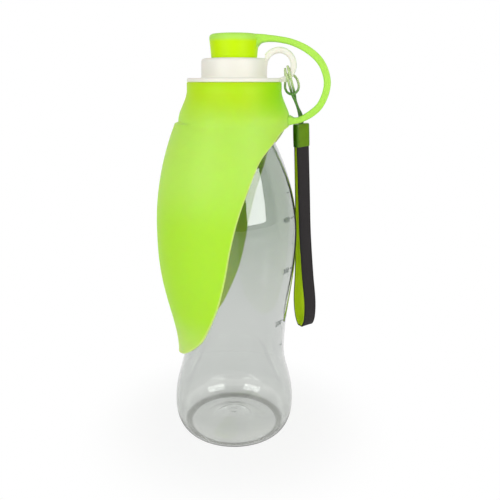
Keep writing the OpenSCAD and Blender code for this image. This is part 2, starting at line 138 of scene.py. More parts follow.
class LeafLook(bpy.types.PropertyGroup):
    collar: colour("Collar", "Colour of the silicone at the collar", srgb(192, 242, 30))
    # The collar's side colour is painted shade, deeper green round towards the tether
    side: colour("Collar's side", "Colour of the collar towards the tether", srgb(148, 232, 0))
    body: colour("Leaf", "Colour of the silicone high on the leaf", srgb(190, 248, 92))
    low: colour("Low leaf", "Colour of the silicone lower on the leaf", srgb(182, 242, 60))
    tip: colour("Tip", "Colour of the silicone at the leaf's tip", srgb(206, 236, 128))
    # The inside and edge colours are painted light, brighter where light shines through the thin silicone
    inside: colour("Inside", "Colour of the bowl's inner face, which light shines through", srgb(212, 250, 0))
    edge: colour("Edge", "Colour of the thin rim, which light shines through", srgb(214, 248, 150))
    wall: length("Wall", "Thickness of the leaf", 0.0017, 0.0012, 0.002)
    rim: length("Rim rounding", "Radius of the leaf's rounded rim", 0.0006, 0.0002, 0.0008)


class PlugLook(bpy.types.PropertyGroup):
    body: colour("Plug", "Colour of the plug's body", srgb(203, 244, 0))
    band: colour("Band", "Colour of the plug's rolled band and of the tether", srgb(184, 238, 92))
    tether_width: length("Tether width", "Width of the tether", 0.008, 0.006, 0.009)
    tether_thickness: length("Tether thickness", "Thickness of the tether's arch", 0.0036, 0.0028, 0.004)


class CapLook(bpy.types.PropertyGroup):
    plastic: colour("Cap", "Colour of the moulded cap", srgb(243, 242, 232))
    liner: colour("Liner", "Colour of the sealing liner", srgb(240, 241, 236))


class StrapLook(bpy.types.PropertyGroup):
    outer: colour("Outer tape", "Colour of the outer tape", srgb(45, 41, 42))
    inner: colour("Inner tape", "Colour of the inner tape", srgb(208, 242, 10))
    cord: colour("Cord", "Colour of the cord below its hitch", srgb(60, 128, 16))
    # The light strand's colour is a painted highlight on the hitch
    strand: colour("Light strand", "Colour of the cord's hitch on the eyelet", srgb(222, 236, 176))
    ferrule: colour("Ferrule", "Colour of the ferrule", srgb(100, 138, 0))
    width: length("Strap width", "Width of the strap", 0.008, 0.006, 0.009)
    tape: length("Tape", "Thickness of each tape", 0.0007, 0.0005, 0.0008)
    cord_diameter: length("Cord diameter", "Thickness of the hitched cord", 0.0013, 0.0011, 0.0014)
    stitch: length("Stitch", "Length from one stitch of the strap to the next", 0.0016, 0.001, 0.003)


# ---------------- shapes


def ease(t):
    """A rise from 0 to 1 that starts and ends level."""
    return (1 - math.cos(math.pi * t)) / 2


def clamp(t):
    return min(1.0, max(0.0, t))


def smooth(points, steps):
    """The smooth curve through points, with some steps in each gap."""
    p = np.array(points, float)
    last = len(p) - 1
    out = []
    for i in range(last):
        a, b, c, d = p[max(i - 1, 0)], p[i], p[i + 1], p[min(i + 2, last)]
        for k in range(steps):
            t = k / steps
            second, third = 2 * a - 5 * b + 4 * c - d, 3 * b - a - 3 * c + d
            out.append(0.5 * (2 * b + (c - a) * t + second * t**2 + third * t**3))
    out.append(p[last])
    return np.array(out)


def directions(line):
    """The direction of a line at each of its points, of length 1."""
    ahead = np.gradient(line, axis=0)
    return ahead / np.linalg.norm(ahead, axis=1)[:, None]


def runs(line):
    """How far along a line each of its points lies."""
    return np.concatenate([[0], np.cumsum(np.linalg.norm(np.diff(line, axis=0), axis=1))])


def arc(x, y, radius, start, end, steps):
    """Points of an arc about (x, y), from one angle to another in degrees."""
    angles = np.radians(np.linspace(start, end, steps + 1))
    return [(x + radius * math.cos(a), y + radius * math.sin(a)) for a in angles]


def rounded_box(width, height, radius, steps):
    """The outline of a rounded rectangle about the origin."""
    w, h = width / 2 - radius, height / 2 - radius
    corners = ((w, h, 0), (-w, h, 90), (-w, -h, 180), (w, -h, 270))
    return [p for x, y, start in corners for p in arc(x, y, radius, start, start + 90, steps)]


def turned(profile, sides, reach=None):
    """Points and faces of a profile of (radius, height) turned about the axis, from one pole on it to the
    other. reach(angle, radius, height) may move a point outwards."""
    rings = profile[1:-1]
    points = [(0, 0, profile[0][1])]
    for radius, z in rings:
        for k in range(sides):
            a = 2 * math.pi * k / sides
            r = radius if reach is None else reach(a, radius, z)
            points.append((r * math.cos(a), r * math.sin(a), z))
    points.append((0, 0, profile[-1][1]))
    faces = []
    for k in range(sides):
        faces.append((0, 1 + (k + 1) % sides, 1 + k))
        base = 1 + (len(rings) - 1) * sides
        faces.append((len(points) - 1, base + k, base + (k + 1) % sides))
    for j in range(len(rings) - 1):
        for k in range(sides):
            a, b = 1 + j * sides + k, 1 + j * sides + (k + 1) % sides
            faces.append((a, b, b + sides, a + sides))
    return points, faces


def swept(rings, closed=False):
    """Points and faces of a skin over rings of points, with its ends capped unless it closes on itself."""
    count, sides = len(rings), len(rings[0])
    points = [p for ring in rings for p in ring]
    faces = []
    for j in range(count if closed else count - 1):
        here, there = j * sides, (j + 1) % count * sides
        for k in range(sides):
            after = (k + 1) % sides
            faces.append((here + k, here + after, there + after, there + k))
    if not closed:
        faces.append(tuple(reversed(range(sides))))
        faces.append(tuple((count - 1) * sides + k for k in range(sides)))
    return points, faces


def link(name, data):
    """A new object in the scene that holds some data."""
    made = bpy.data.objects.new(name, data)
    bpy.context.scene.collection.objects.link(made)
    return made


def link_mesh(name, points, edges=(), faces=()):
    """A new object in the scene with a mesh of points, edges and faces."""
    mesh = bpy.data.meshes.new(name)
    mesh.from_pydata([tuple(p) for p in points], list(edges), [tuple(f) for f in faces])
    return link(name, mesh)


def add_piece(name, skin, material, uv=None, sharp=50):
    """A smooth-shaded mesh object with outward faces, from a skin of points and faces. uv holds one pair for
    each point, and sharp is the angle in degrees past which an edge stays crisp."""
    points, faces = skin
    piece = link_mesh(name, points, faces=faces)
    mesh = piece.data
    if uv is not None:
        layer = mesh.uv_layers.new(name="UVMap")
        loops = np.zeros(len(mesh.loops), int)
        mesh.loops.foreach_get("vertex_index", loops)
        layer.data.foreach_set("uv", np.array(uv, np.float32)[loops].ravel())
    mesh.validate()
    mesh.update()
    mesh.calc_loop_triangles()
    corners = np.zeros(3 * len(mesh.loop_triangles), int)
    mesh.loop_triangles.foreach_get("vertices", corners)
    a, b, c = np.array(points, float)[corners.reshape(-1, 3)].transpose(1, 0, 2)
    if np.einsum("ij,ij", a, np.cross(b, c)) < 0:
        mesh.flip_normals()
    mesh.shade_smooth()
    mesh.set_sharp_from_angle(angle=math.radians(sharp))
    coat(piece, material)
    return piece


# ---------------- materials


class Wire:
    """A socket of a node tree, on which Python's operators add Math nodes."""

    def __init__(self, tree, socket):
        self.tree, self.socket = tree, socket


for sign, name in (("add", "ADD"), ("sub", "SUBTRACT"), ("mul", "MULTIPLY"), ("truediv", "DIVIDE")):
    setattr(Wire, f"__{sign}__", lambda wire, other, name=name: wire.tree.math(name, wire, other))
    setattr(Wire, f"__r{sign}__", lambda wire, other, name=name: wire.tree.math(name, other, wire))


class Tree:
    """A node tree, and the ways to add to it."""

    def __init__(self, tree):
        self.tree = tree
        tree.nodes.clear()

    def set(self, socket, value):
        """Links a wire to a socket, or sets its value. A colour needs no alpha."""
        if isinstance(value, Wire):
            self.tree.links.new(value.socket, socket)
        elif hasattr(value, "__len__") and len(value) == 3 and len(socket.default_value) == 4:
            socket.default_value = (*value, 1)
        else:
            socket.default_value = value

    def node(self, kind, values=None, output=0, **settings):
        """A node with its settings, then the values or links of its sockets, as a wire from one output."""
        made = self.tree.nodes.new(kind)
        for key, value in settings.items():
            setattr(made, key, value)
        for key, value in (values or {}).items():
            self.set(made.inputs[key], value)
        return Wire(self, made.outputs[output])

    def math(self, operation, *values):
        return self.node("ShaderNodeMath", dict(enumerate(values)), operation=operation)

    def clamped(self, value):
        return self.node("ShaderNodeClamp", {0: value})

    def step(self, value, low, high):
        """0 below low, 1 above high, and smooth between."""
        ends = {"Value": value, 1: low, 2: high, 3: 0.0, 4: 1.0}
        return self.node("ShaderNodeMapRange", ends, interpolation_type="SMOOTHSTEP")

    def blend(self, share, a, b):
        return self.node("ShaderNodeMix", {0: share, 6: a, 7: b}, 2, data_type="RGBA")

    def mix(self, share, a, b):
        """A mix of two shaders."""
        return self.node("ShaderNodeMixShader", {0: share, 1: a, 2: b})

    def place(self, which="Object"):
        return self.node("ShaderNodeTexCoord", output=which)

    def outputs(self, wire, keys):
        """Other outputs of the node that a wire comes from."""
        return tuple(Wire(self, wire.socket.node.outputs[key]) for key in keys)

    def axes(self, place):
        """The three numbers of a place."""
        return self.outputs(self.node("ShaderNodeSeparateXYZ", {0: place}), range(3))

    def noise(self, place, scale, detail=2.0):
        return self.node("ShaderNodeTexNoise", {"Vector": place, "Scale": scale, "Detail": detail})


class Paint(Tree):
    """A material on the Principled shader."""

    def __init__(self, name, **shader):
        self.material = bpy.data.materials.new(name)
        self.material.use_nodes = True
        super().__init__(self.material.node_tree)
        self.shader = self.tree.nodes.new("ShaderNodeBsdfPrincipled")
        self.out = self.tree.nodes.new("ShaderNodeOutputMaterial")
        self.body = Wire(self, self.shader.outputs["BSDF"])
        self.show(self.body)
        self.finish(**shader)

    def show(self, shader):
        """Links a shader to the material's surface."""
        self.set(self.out.inputs["Surface"], shader)

    def relief(self, height, distance, strength):
        return self.node("ShaderNodeBump", {"Height": height, "Distance": distance, "Strength": strength})

    def finish(self, **shader):
        """Sets or links the shader's sockets, and gives the material."""
        for socket, value in shader.items():
            self.set(self.shader.inputs[socket.replace("_", " ")], value)
        return self.material


class Rule(Tree):
    """A Geometry Nodes tree with named sizes, which makes what repeats."""

    def __init__(self, name, **sizes):
        super().__init__(bpy.data.node_groups.new(name, "GeometryNodeTree"))
        self.sizes = {key.replace("_", " "): value for key, value in sizes.items()}
        sockets = self.tree.interface
        sockets.new_socket("Geometry", in_out="OUTPUT", socket_type="NodeSocketGeometry")
        sockets.new_socket("Geometry", in_out="INPUT", socket_type="NodeSocketGeometry")
        for size in self.sizes:
            sockets.new_socket(size, in_out="INPUT", socket_type="NodeSocketFloat")
        self.start = self.tree.nodes.new("NodeGroupInput")
        self.end = self.tree.nodes.new("NodeGroupOutput")

    def given(self, name="Geometry"):
        """An input of the tree: the holder's geometry, or one of the sizes."""
        return Wire(self, self.start.outputs[name])

    def vector(self, x, y, z):
        return self.node("ShaderNodeCombineXYZ", {0: x, 1: y, 2: z})

    def sum(self, a, b):
        return self.node("ShaderNodeVectorMath", {0: a, 1: b}, operation="ADD")

    def scaled(self, vector, times):
        return self.node("ShaderNodeVectorMath", {0: vector, "Scale": times}, operation="SCALE")

    def grow(self, holder, made, material):
        """Ends the tree with what it made, and turns the holder's mesh into the result."""
        real = self.node("GeometryNodeRealizeInstances", {0: made})
        self.set(self.end.inputs[0], self.node("GeometryNodeSetMaterial", {0: real, "Material": material}))
        modifier = holder.modifiers.new("rule", "NODES")
        modifier.node_group = self.tree
        for item in self.tree.interface.items_tree:
            if item.name in self.sizes:
                modifier[item.identifier] = float(self.sizes[item.name])
        grown = evaluated(holder)
        holder.modifiers.clear()
        holder.data = grown
        return holder


def evaluated(holder):
    """The mesh that an object comes to, with its modifiers or its letters."""
    return bpy.data.meshes.new_from_object(holder.evaluated_get(bpy.context.evaluated_depsgraph_get()))


def coat(piece, material):
    piece.data.materials.clear()
    piece.data.materials.append(material)


def tinted(shade, *times):
    """A colour times one number or three, each value at most 1."""
    return tuple(min(1.0, c * k) for c, k in zip(shade, times if len(times) == 3 else times * 3))


# Heights over which the bottle's tint deepens as a painted reflection, its heel's pale tint of painted light
# gives way and its foot's ring of painted shade ends
PAINTED_REFLECTION_RISE, HEEL_PAINTED_LIGHT_RISE, FOOT_PAINTED_SHADE_RISE = (0.075, 0.145), (0.006, 0.02), (0.0004, 0.0024)
# The foot ring's painted shade, and the colour that lamps and stray light keep through the wall
FOOT_PAINTED_SHADE, OPEN_SHADE = (0.27, 0.275, 0.25), (0.95, 0.96, 0.95)


def clear_plastic(look):
    """Blown bottle plastic: clear, glossy, slightly uneven as it left the mould, deeper in tint at its edges.
    Higher up its tint deepens as a painted reflection of darker surroundings, its heel's paler tint is
    painted light that brightens the base over the floor's shadow, and a dark ring round its foot is painted
    shade where it meets the floor. Lamps and stray light pass straight through it, so that what stands behind
    it is lit."""
    paint = Paint("clear_bottle_plastic", Roughness=0.0, IOR=1.57, Transmission_Weight=1.0)
    place = paint.place()
    x, y, z = paint.axes(place)
    # Painted reflection deepens the tint higher up, and painted light pales it at the heel
    body = paint.blend(paint.step(z, *PAINTED_REFLECTION_RISE), look.low_tint, look.tint)
    body = paint.blend(1 - paint.step(z, *HEEL_PAINTED_LIGHT_RISE), body, look.heel_tint)
    edge = paint.node("ShaderNodeLayerWeight", {"Blend": 0.35}, 1)
    body = paint.blend(0.8 * edge * edge * edge, body, tinted(look.tint, 0.35))
    outer = paint.step(paint.math("SQRT", x * x + y * y), FOOT_IN_R, FOOT_OUT_R)
    # Painted shade: a dark ring round the outside of the foot, low down where it meets the floor
    ring = outer * (1 - paint.step(z, *FOOT_PAINTED_SHADE_RISE))
    rays = paint.outputs(paint.node("ShaderNodeLightPath"), ("Is Shadow Ray", "Is Diffuse Ray"))
    clear = paint.node("ShaderNodeBsdfTransparent", {"Color": OPEN_SHADE})
    paint.show(paint.mix(paint.math("MAXIMUM", *rays), paint.body, clear))
    waves = paint.relief(paint.noise(place, 40.0, 1.0), 0.0004, 0.08)
    return paint.finish(Base_Color=paint.blend(ring, body, FOOT_PAINTED_SHADE), Normal=waves)


def silicone(name, soak, mottle, waves=0.0):
    """Satin silicone, with the share of the light that soaks into it and the scale of its mottling. Its
    relief is a fine grain with a share of longer waves. Gives the paint, the place, the mottling about 0 and
    the grain."""
    paint = Paint(
        name, IOR=1.42, Specular_IOR_Level=0.15, Subsurface_Weight=soak, Subsurface_Scale=0.005,
        Subsurface_Radius=(0.6, 1.0, 0.05),
    )
    place = paint.place()
    grain = paint.noise(place, 2600.0)
    height = grain + waves * paint.noise(place, 300.0) if waves else grain
    paint.finish(Normal=paint.relief(height, 0.00004, 0.6))
    return paint, place, paint.noise(place, mottle) - 0.5, grain


# Heights over which the leaf's low colour turns into its body's, and that into its collar's, where its tip's
# colour starts and how far down it fades in, where its painted shade on the tether's side comes in by x and
# by height, and how far in from the rim its painted rim light ends, in millimetres
BODY_RISE, COLLAR_RISE, TIP_FROM, TIP_FADE = (0.125, 0.16), (0.181, 0.2), 0.082, 0.034
SHADE_SIDE_X, SHADE_SIDE_RISE, RIM_LIGHT_MM = (0.009, 0.028), (0.182, 0.196), (0.35, 1.1)


def leaf_silicone(look):
    """The leaf's lime silicone: a little mottled, yellower at the collar, deepest low on the leaf and paler
    at its tip. Painted shade turns the collar greener round towards the tether, and painted light brightens
    the inner face and the thin rim, as light shining through the silicone. Its UV map holds the distance from
    the rim in millimetres, then 1 on the inner face."""
    paint, place, cloud, grain = silicone("leaf_silicone", 0.7, 26.0, 0.8)
    x, _, z = paint.axes(place)
    skin = paint.blend(paint.step(z + 0.012 * cloud, *BODY_RISE), look.low, look.body)
    skin = paint.blend(paint.step(z + 0.01 * cloud, *COLLAR_RISE), skin, look.collar)
    skin = paint.blend(paint.step(TIP_FROM - z + 0.01 * cloud, 0.0, TIP_FADE) * 0.85, skin, look.tip)
    # Painted shade: the collar deeper green round towards the tether
    painted_side_shade = paint.step(x, *SHADE_SIDE_X) * paint.step(z, *SHADE_SIDE_RISE)
    skin = paint.blend(painted_side_shade * 0.85, skin, look.side)
    from_rim, within, _ = paint.axes(paint.place("UV"))
    # Painted light: the inner face brighter, as light shining through the wall
    skin = paint.blend(within, skin, look.inside)
    # Painted light: a paler band along the rim
    skin = paint.blend(0.75 - 0.75 * paint.step(from_rim, *RIM_LIGHT_MM), skin, look.edge)
    return paint.finish(Base_Color=skin, Roughness=0.42 + 0.1 * cloud + 0.06 * grain)


def tether_silicone(look):
    """The tether's lighter silicone, mottled with a deeper green."""
    paint, _, cloud, grain = silicone("tether_silicone", 0.05, 60.0)
    skin = paint.blend(paint.clamped(0.35 + 1.2 * cloud), look.band, tinted(look.band, 0.86, 0.96, 0.7))
    return paint.finish(Base_Color=skin, Roughness=0.42 + 0.08 * cloud + 0.06 * grain)


def plug_silicone(look):
    """The plug's silicone: yellow-green on the body, and the tether's lighter green on the rolled band."""
    paint, place, cloud, grain = silicone("plug_silicone", 0.05, 60.0)
    _, _, z = paint.axes(place)
    band = paint.step(z + 0.0012 * cloud, BAND_Z - 0.001, BAND_Z + 0.0012)
    skin = paint.blend(band, look.body, look.band)
    return paint.finish(Base_Color=skin, Roughness=0.4 + 0.08 * cloud + 0.06 * grain)


def cap_plastic(shade):
    """Moulded cap plastic: off-white, satin, with a fine spark-eroded grain."""
    paint = Paint(
        "cap_plastic", IOR=1.49, Specular_IOR_Level=0.3, Subsurface_Weight=0.05, Subsurface_Scale=0.001
    )
    place = paint.place()
    grain = paint.noise(place, 3200.0)
    skin = paint.blend(paint.noise(place, 40.0), shade, tinted(shade, 0.985, 0.965, 0.93))
    fine = paint.relief(grain, 0.00003, 0.5)
    return paint.finish(Base_Color=skin, Roughness=0.36 + 0.1 * grain, Normal=fine)


def liner_foam(shade):
    """The sealing liner: matt closed-cell foam."""
    paint = Paint("liner_foam", Roughness=0.8)
    cells = paint.node("ShaderNodeTexVoronoi", {"Vector": paint.place(), "Scale": 1800.0})
    skin = paint.blend(cells, shade, tinted(shade, 0.85))
    return paint.finish(Base_Color=skin, Normal=paint.relief(cells, 0.0001, 0.6))


def printing_ink(shade):
    """The bottle's printed scale: thin matt ink with small pale specks."""
    paint = Paint("scale_ink", Roughness=0.6)
    specks = paint.noise(paint.place(), 3000.0, 3.0)
    return paint.finish(Base_Color=paint.blend(specks, shade, tinted(shade, 1.5)))


# The tape's middle, and how far from it its edges darken, in millimetres; then its weave's waves, in radians
# a millimetre
TAPE_MIDDLE, TAPE_EDGE, WARP, WEFT = 4.0, (3.5, 3.9), 14.0, 9.0


def woven_tape(name, shade, dark_share):
    """A narrow woven tape, read from its own UV map in millimetres: along the tape, then across it."""
    paint = Paint(name, Roughness=0.78, Specular_IOR_Level=0.2, Sheen_Weight=0.1, Sheen_Roughness=0.45)
    place = paint.place("UV")
    along, across, _ = paint.axes(place)
    warp = paint.math("SINE", across * WARP)
    weft = paint.math("SINE", along * WEFT + 1.57 * paint.math("SIGN", warp))
    thread = 0.5 + 0.25 * warp * warp + 0.25 * weft
    edge = paint.step(paint.math("ABSOLUTE", across - TAPE_MIDDLE), *TAPE_EDGE)
    fuzz = paint.noise(place, 6.0, 3.0)
    deep = tinted(shade, dark_share)
    bright = tuple(min(1.0, 1.2 * c + 0.002) for c in shade)
    body = paint.blend(paint.clamped(thread * 0.8 + 0.4 * fuzz - 0.1), deep, bright)
    skin = paint.blend(edge * 0.5, body, deep)
    return paint.finish(Base_Color=skin, Normal=paint.relief(thread, 0.0001, 0.8))


# The braid's waves, in radians a millimetre and a turn, and the heights over which the hitch turns pale with
# a painted highlight
BRAID_ALONG, FULL_TURN, HITCH_HIGHLIGHT_RISE = 3.2, 6.2832, (0.199, 0.204)


def braided_cord(look):
    """A thin braid, read from its own UV map, millimetres along and turns round. A painted highlight makes it
    pale in the hitch on the eyelet; it is green below."""
    paint = Paint("cord_nylon", Roughness=0.5, Sheen_Weight=0.1)
    along, around, _ = paint.axes(paint.place("UV"))
    _, _, z = paint.axes(paint.place())
    one = paint.math("SINE", along * BRAID_ALONG + around * FULL_TURN * 3)
    two = paint.math("SINE", along * BRAID_ALONG - around * FULL_TURN * 3)
    light = paint.step(one * two, 0.15, 0.6)
    fuzz = paint.noise(paint.place("UV"), 9.0)
    # Painted highlight: the cord pale in the hitch on the eyelet
    hitch = paint.step(z + 0.002 * fuzz, *HITCH_HIGHLIGHT_RISE)
    share = hitch * (0.62 + 0.38 * light) + (1 - hitch) * (0.12 * light + 0.1 * fuzz)
    skin = paint.blend(paint.clamped(share), look.cord, look.strand)
    return paint.finish(Base_Color=skin, Normal=paint.relief(paint.math("MAXIMUM", one, two), 0.0001, 0.6))


# How far from the ferrule's middle its painted edge shade comes in, darker and greener, in millimetres
FERRULE_EDGE_SHADE = (2.6, 4.6)


def ferrule_plastic(look):
    """The ferrule: olive, glossy moulding with soft flow lines, and painted shade along its edges, darker and
    greener. Its UV map holds millimetres across."""
    paint = Paint("ferrule_plastic", IOR=1.45, Coat_Weight=0.2, Coat_Roughness=0.08, Specular_IOR_Level=0.2)
    across, _, _ = paint.axes(paint.place("UV"))
    flow = paint.noise(paint.place(), 240.0)
    shade = look.ferrule
    body = paint.blend(flow, tinted(shade, 0.85), tinted(shade, 1.25))
    edge = paint.step(paint.math("ABSOLUTE", across), *FERRULE_EDGE_SHADE)
    # Painted shade: the ferrule's rounded sides darker and greener
    skin = paint.blend(edge, body, tinted(shade, 0.35, 0.62, 0.0))
    return paint.finish(Base_Color=skin, Roughness=0.24 + 0.1 * flow, Normal=paint.relief(flow, 0.00008, 0.4))


# ---------------- stage

# The rays that see the background as white, and that white
SEEN_BY = ("Is Camera Ray", "Is Glossy Ray", "Is Transmission Ray")
WHITE, BLACK = (1.0, 1.0, 1.0), (0.0, 0.0, 0.0)

# The lamps' width, height, middle height, lean and distance, and how much nearer the glints stand
LAMP_W, LAMP_H, LAMP_Z, LAMP_LEAN, LAMP_AWAY, GLINT_NEARER = 0.68, 0.56, 0.42, 0.25, 1.0, 0.01

# Distances from the axis over which the floor turns white, and over which its painted shadow beneath the
# object ends
FLOOR_AWAY, FLOOR_PAINTED_SHADOW = (0.04, 0.1), (0.033, 0.045)


class BOTTLE_OT_stage(bpy.types.Operator):
    """Makes the camera, the lamps, the sky and the floor"""

    bl_idname = "bottle.stage"
    bl_label = "Stage"

    def execute(self, context):
        look = context.scene.stage_look
        self.add_camera(context.scene)
        self.add_floor(look)
        self.add_sky(context.scene, look)
        self.add_lamp("left", -122, look.left, look.glint)
        self.add_lamp("right", -40, look.right, look.glint)
        context.scene.view_settings.view_transform = "Standard"
        return {"FINISHED"}

    def add_camera(self, scene):
        """The camera stands 327 mm from the bottle's axis and looks down a little, as in the photograph."""
        turn, tilt, distance, height = math.radians(9), math.radians(15.97), 0.3265, 0.204
        camera = link("camera", bpy.data.cameras.new("camera"))
        camera.location = (distance * math.sin(turn), -distance * math.cos(turn), height)
        camera.rotation_euler = (math.pi / 2 - tilt, 0, turn)
        camera.data.lens, camera.data.sensor_width = 42.51, 36
        camera.data.shift_x = 0.0316
        camera.data.clip_start = 0.01
        scene.camera = camera

    def add_floor(self, look):
        side = 3.0
        corners = [(-side, -side, 0), (side, -side, 0), (side, side, 0), (-side, side, 0)]
        floor = link_mesh("floor", corners, faces=[(0, 1, 2, 3)])
        coat(floor, self.floor_paint(look.floor))

    def floor_paint(self, shade):
        """A matt floor. To the eye it is nearly white by the object, where it keeps a soft shadow, and white
        beyond. Gloss and glass see a painted shadow, black, right beneath the object."""
        paint = Paint("pale_floor", Roughness=0.9, Specular_IOR_Level=0.1, Base_Color=shade)
        camera, shine, through = paint.outputs(paint.node("ShaderNodeLightPath"), SEEN_BY)
        x, y, _ = paint.axes(paint.place())
        reach = paint.math("SQRT", x * x + y * y)
        away, under = paint.step(reach, *FLOOR_AWAY), 1 - paint.step(reach, *FLOOR_PAINTED_SHADOW)
        seen = paint.clamped(camera + through + shine * paint.step(y, -0.05, 0.1))
        white = paint.node("ShaderNodeEmission", {"Color": WHITE, "Strength": 1.0})
        # Painted shadow: the black that gloss and glass see beneath the object
        dark = paint.node("ShaderNodeEmission", {"Color": BLACK, "Strength": 0.0})
        lit = paint.mix(seen * (0.84 + 0.16 * away), paint.body, white)
        painted_shadow = paint.clamped(under * (0.9 * shine * (1 - through) + 0.16 * through))
        paint.show(paint.mix(painted_shadow, lit, dark))
        return paint.material

    def add_sky(self, scene, look):
        """An even pale light from all round, with a backdrop that the eye, gloss and glass see as white.
        Gloss sees the front, behind the camera, as dim."""
        world = bpy.data.worlds.new("studio")
        world.use_nodes = True
        sky = Tree(world.node_tree)
        camera, shine, through = sky.outputs(sky.node("ShaderNodeLightPath"), SEEN_BY)
        _, y, _ = sky.axes(sky.place("Generated"))
        front = 1 - sky.step(y, -0.1, 0.2)
        seen = sky.clamped(camera + through + shine * (1 - front))
        strength = look.sky * (1 - 0.85 * shine * front) + (1 - look.sky) * seen
        glow = sky.node("ShaderNodeBackground", {"Color": WHITE, "Strength": strength})
        out = world.node_tree.nodes.new("ShaderNodeOutputWorld")
        sky.set(out.inputs["Surface"], glow)
        scene.world = world

    def add_lamp(self, name, azimuth, power, glint):
        """A soft box a metre away, nearly upright, from 0.14 m up to 0.7 m, and a twin that only gloss and
        glass see."""
        a = math.radians(azimuth)
        for part, energy, nearer in (("softbox", power, 0), ("glint", glint, GLINT_NEARER)):
            data = bpy.data.lights.new(name + "_" + part, "AREA")
            data.shape, data.size, data.size_y, data.energy = "RECTANGLE", LAMP_W, LAMP_H, energy
            lamp = link(name + "_" + part, data)
            away = LAMP_AWAY - nearer
            lamp.location = (away * math.cos(a), away * math.sin(a), LAMP_Z)
            lamp.rotation_euler = (math.pi / 2 - LAMP_LEAN, 0, a + math.pi / 2)
            lamp.visible_diffuse = part == "softbox"


# ---------------- cord

# The cord's sides, its braid's turn in radians a metre, its braid's depth, and a direction off its line that
# its first side is taken from
CORD_SIDES, BRAID_TURN, BRAID_DEPTH, CORD_ASIDE = 20, 3200, 0.05, (0.83, 0.11, 0.55)


class BOTTLE_OT_cord(bpy.types.Operator):
    """Makes the thin cord that is hitched on the cap's eyelet"""

    bl_idname = "bottle.cord"
    bl_label = "Hitched cord"

    def execute(self, context):
        look = context.scene.strap_look
        radius = look.cord_diameter / 2
        route = smooth([EYE + Vector(p) for p in CORD_RUN], 12)
        run, ahead = runs(route), directions(route)
        side = np.cross(ahead[0], CORD_ASIDE)
        rings, uv = [], []
        for i, point in enumerate(route):
            side = side - (side @ ahead[i]) * ahead[i]
            side /= np.linalg.norm(side)
            other = np.cross(ahead[i], side)
            ring = []
            for k in range(CORD_SIDES):
                a = 2 * math.pi * k / CORD_SIDES
                lobe = max(math.sin(BRAID_TURN * run[i] + 3 * a), math.sin(BRAID_TURN * run[i] - 3 * a))
                r = radius * (0.96 + BRAID_DEPTH * lobe)
                ring.append(point + r * (math.cos(a) * side + math.sin(a) * other))
                uv.append((run[i] / MM, k / CORD_SIDES))
            rings.append(ring)
        cord = add_piece("hitch_cord_braid", swept(rings), braided_cord(look), uv, 80)
        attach(cord, "cord")
        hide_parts("hitch_cord")
        context.scene["cord_length"] = float(run[-1])
        context.scene["cord_path"] = route.ravel().tolist()
        return {"FINISHED"}


# ---------------- bottle

# Radii and heights of the blown body, from the heel up to the neck, its ledge and its lip
HEEL_R, HEEL_Z = 0.0355, 0.016
WAIST_R, WAIST_Z = 0.0298, 0.051
BULGE_R, BULGE_Z = 0.0355, 0.119
NECK_R, NECK_Z = 0.0145, 0.186
LEDGE_R, LEDGE_Z, LEDGE_T = 0.0172, 0.19, 0.002
LIP_Z = 0.212
LIP_ROUND, LEDGE_ROUND, LEDGE_FILLET = 0.0005, 0.0004, 0.0003

# The standing ring and the dome inside it: its pip's depth and share, and its steps' place, width and depth
FOOT_IN_R, FOOT_OUT_R, FOOT_ROUND, DOME_H = 0.0255, 0.0273, 0.0006, 0.006
DOME_PIP, DOME_STEPS = (0.0004, 0.12), ((0.42, 0.05, 0.00035), (0.72, 0.045, 0.0003))

# The neck's thread, with half its width at the root, the width of its flank and the gap between its rows
THREAD_Z, THREAD_PITCH, THREAD_H, THREAD_TURNS = 0.194, 0.004, 0.0011, 1.75
THREAD_HALF, THREAD_FLANK, THREAD_ROW = 0.00095, 0.00045, 0.00025

# The shoulder's run into the neck, as shares of the way from the bulge in radius and in height
NECK_TURN = ((0.64, 0.8), (0.781, 0.902), (0.886, 0.942), (0.962, 0.976), (1.0, 1.0))


def bottle_line():
    """The blown body's outer line from the standing ring up to the neck, as (radius, height)."""
    line = []
    for a in np.radians(np.linspace(0, 90, 25)):
        line.append((FOOT_OUT_R + (HEEL_R - FOOT_OUT_R) * math.sin(a), HEEL_Z * (1 - math.cos(a))))
    for t in np.linspace(0, 1, 41)[1:]:
        line.append((HEEL_R + (WAIST_R - HEEL_R) * ease(t**1.2), HEEL_Z + (WAIST_Z - HEEL_Z) * t))
    for t in np.linspace(0, 1, 61)[1:]:
        line.append((WAIST_R + (BULGE_R - WAIST_R) * ease(t), WAIST_Z + (BULGE_Z - WAIST_Z) * t))
    shoulder = [(t * t, t) for t in np.linspace(0, 0.8, 41)[1:-1]] + list(smooth(NECK_TURN, 6))
    for share, t in shoulder:
        line.append((BULGE_R + (NECK_R - BULGE_R) * share, BULGE_Z + (NECK_Z - BULGE_Z) * t))
    return line


BODY_LINE = np.array(bottle_line())


def bottle_radius(z):
    """The blown body's outer radius at a height."""
    return float(np.interp(z, BODY_LINE[:, 1], BODY_LINE[:, 0]))


def dome_line(lift, edge_r):
    """The base's line from its middle out to the standing ring: a pushed-up dome with a pip and two soft
    steps."""
    line = []
    for t in np.linspace(0, 1, 49):
        pip = DOME_PIP[0] * ease(clamp(1 - t / DOME_PIP[1]))
        ripple = -sum(depth * math.exp(-(((t - at) / wide) ** 2)) for at, wide, depth in DOME_STEPS)
        line.append((edge_r * t, lift + (DOME_H + ripple - pip) * ease(1 - t) if t < 1 else lift))
    return line


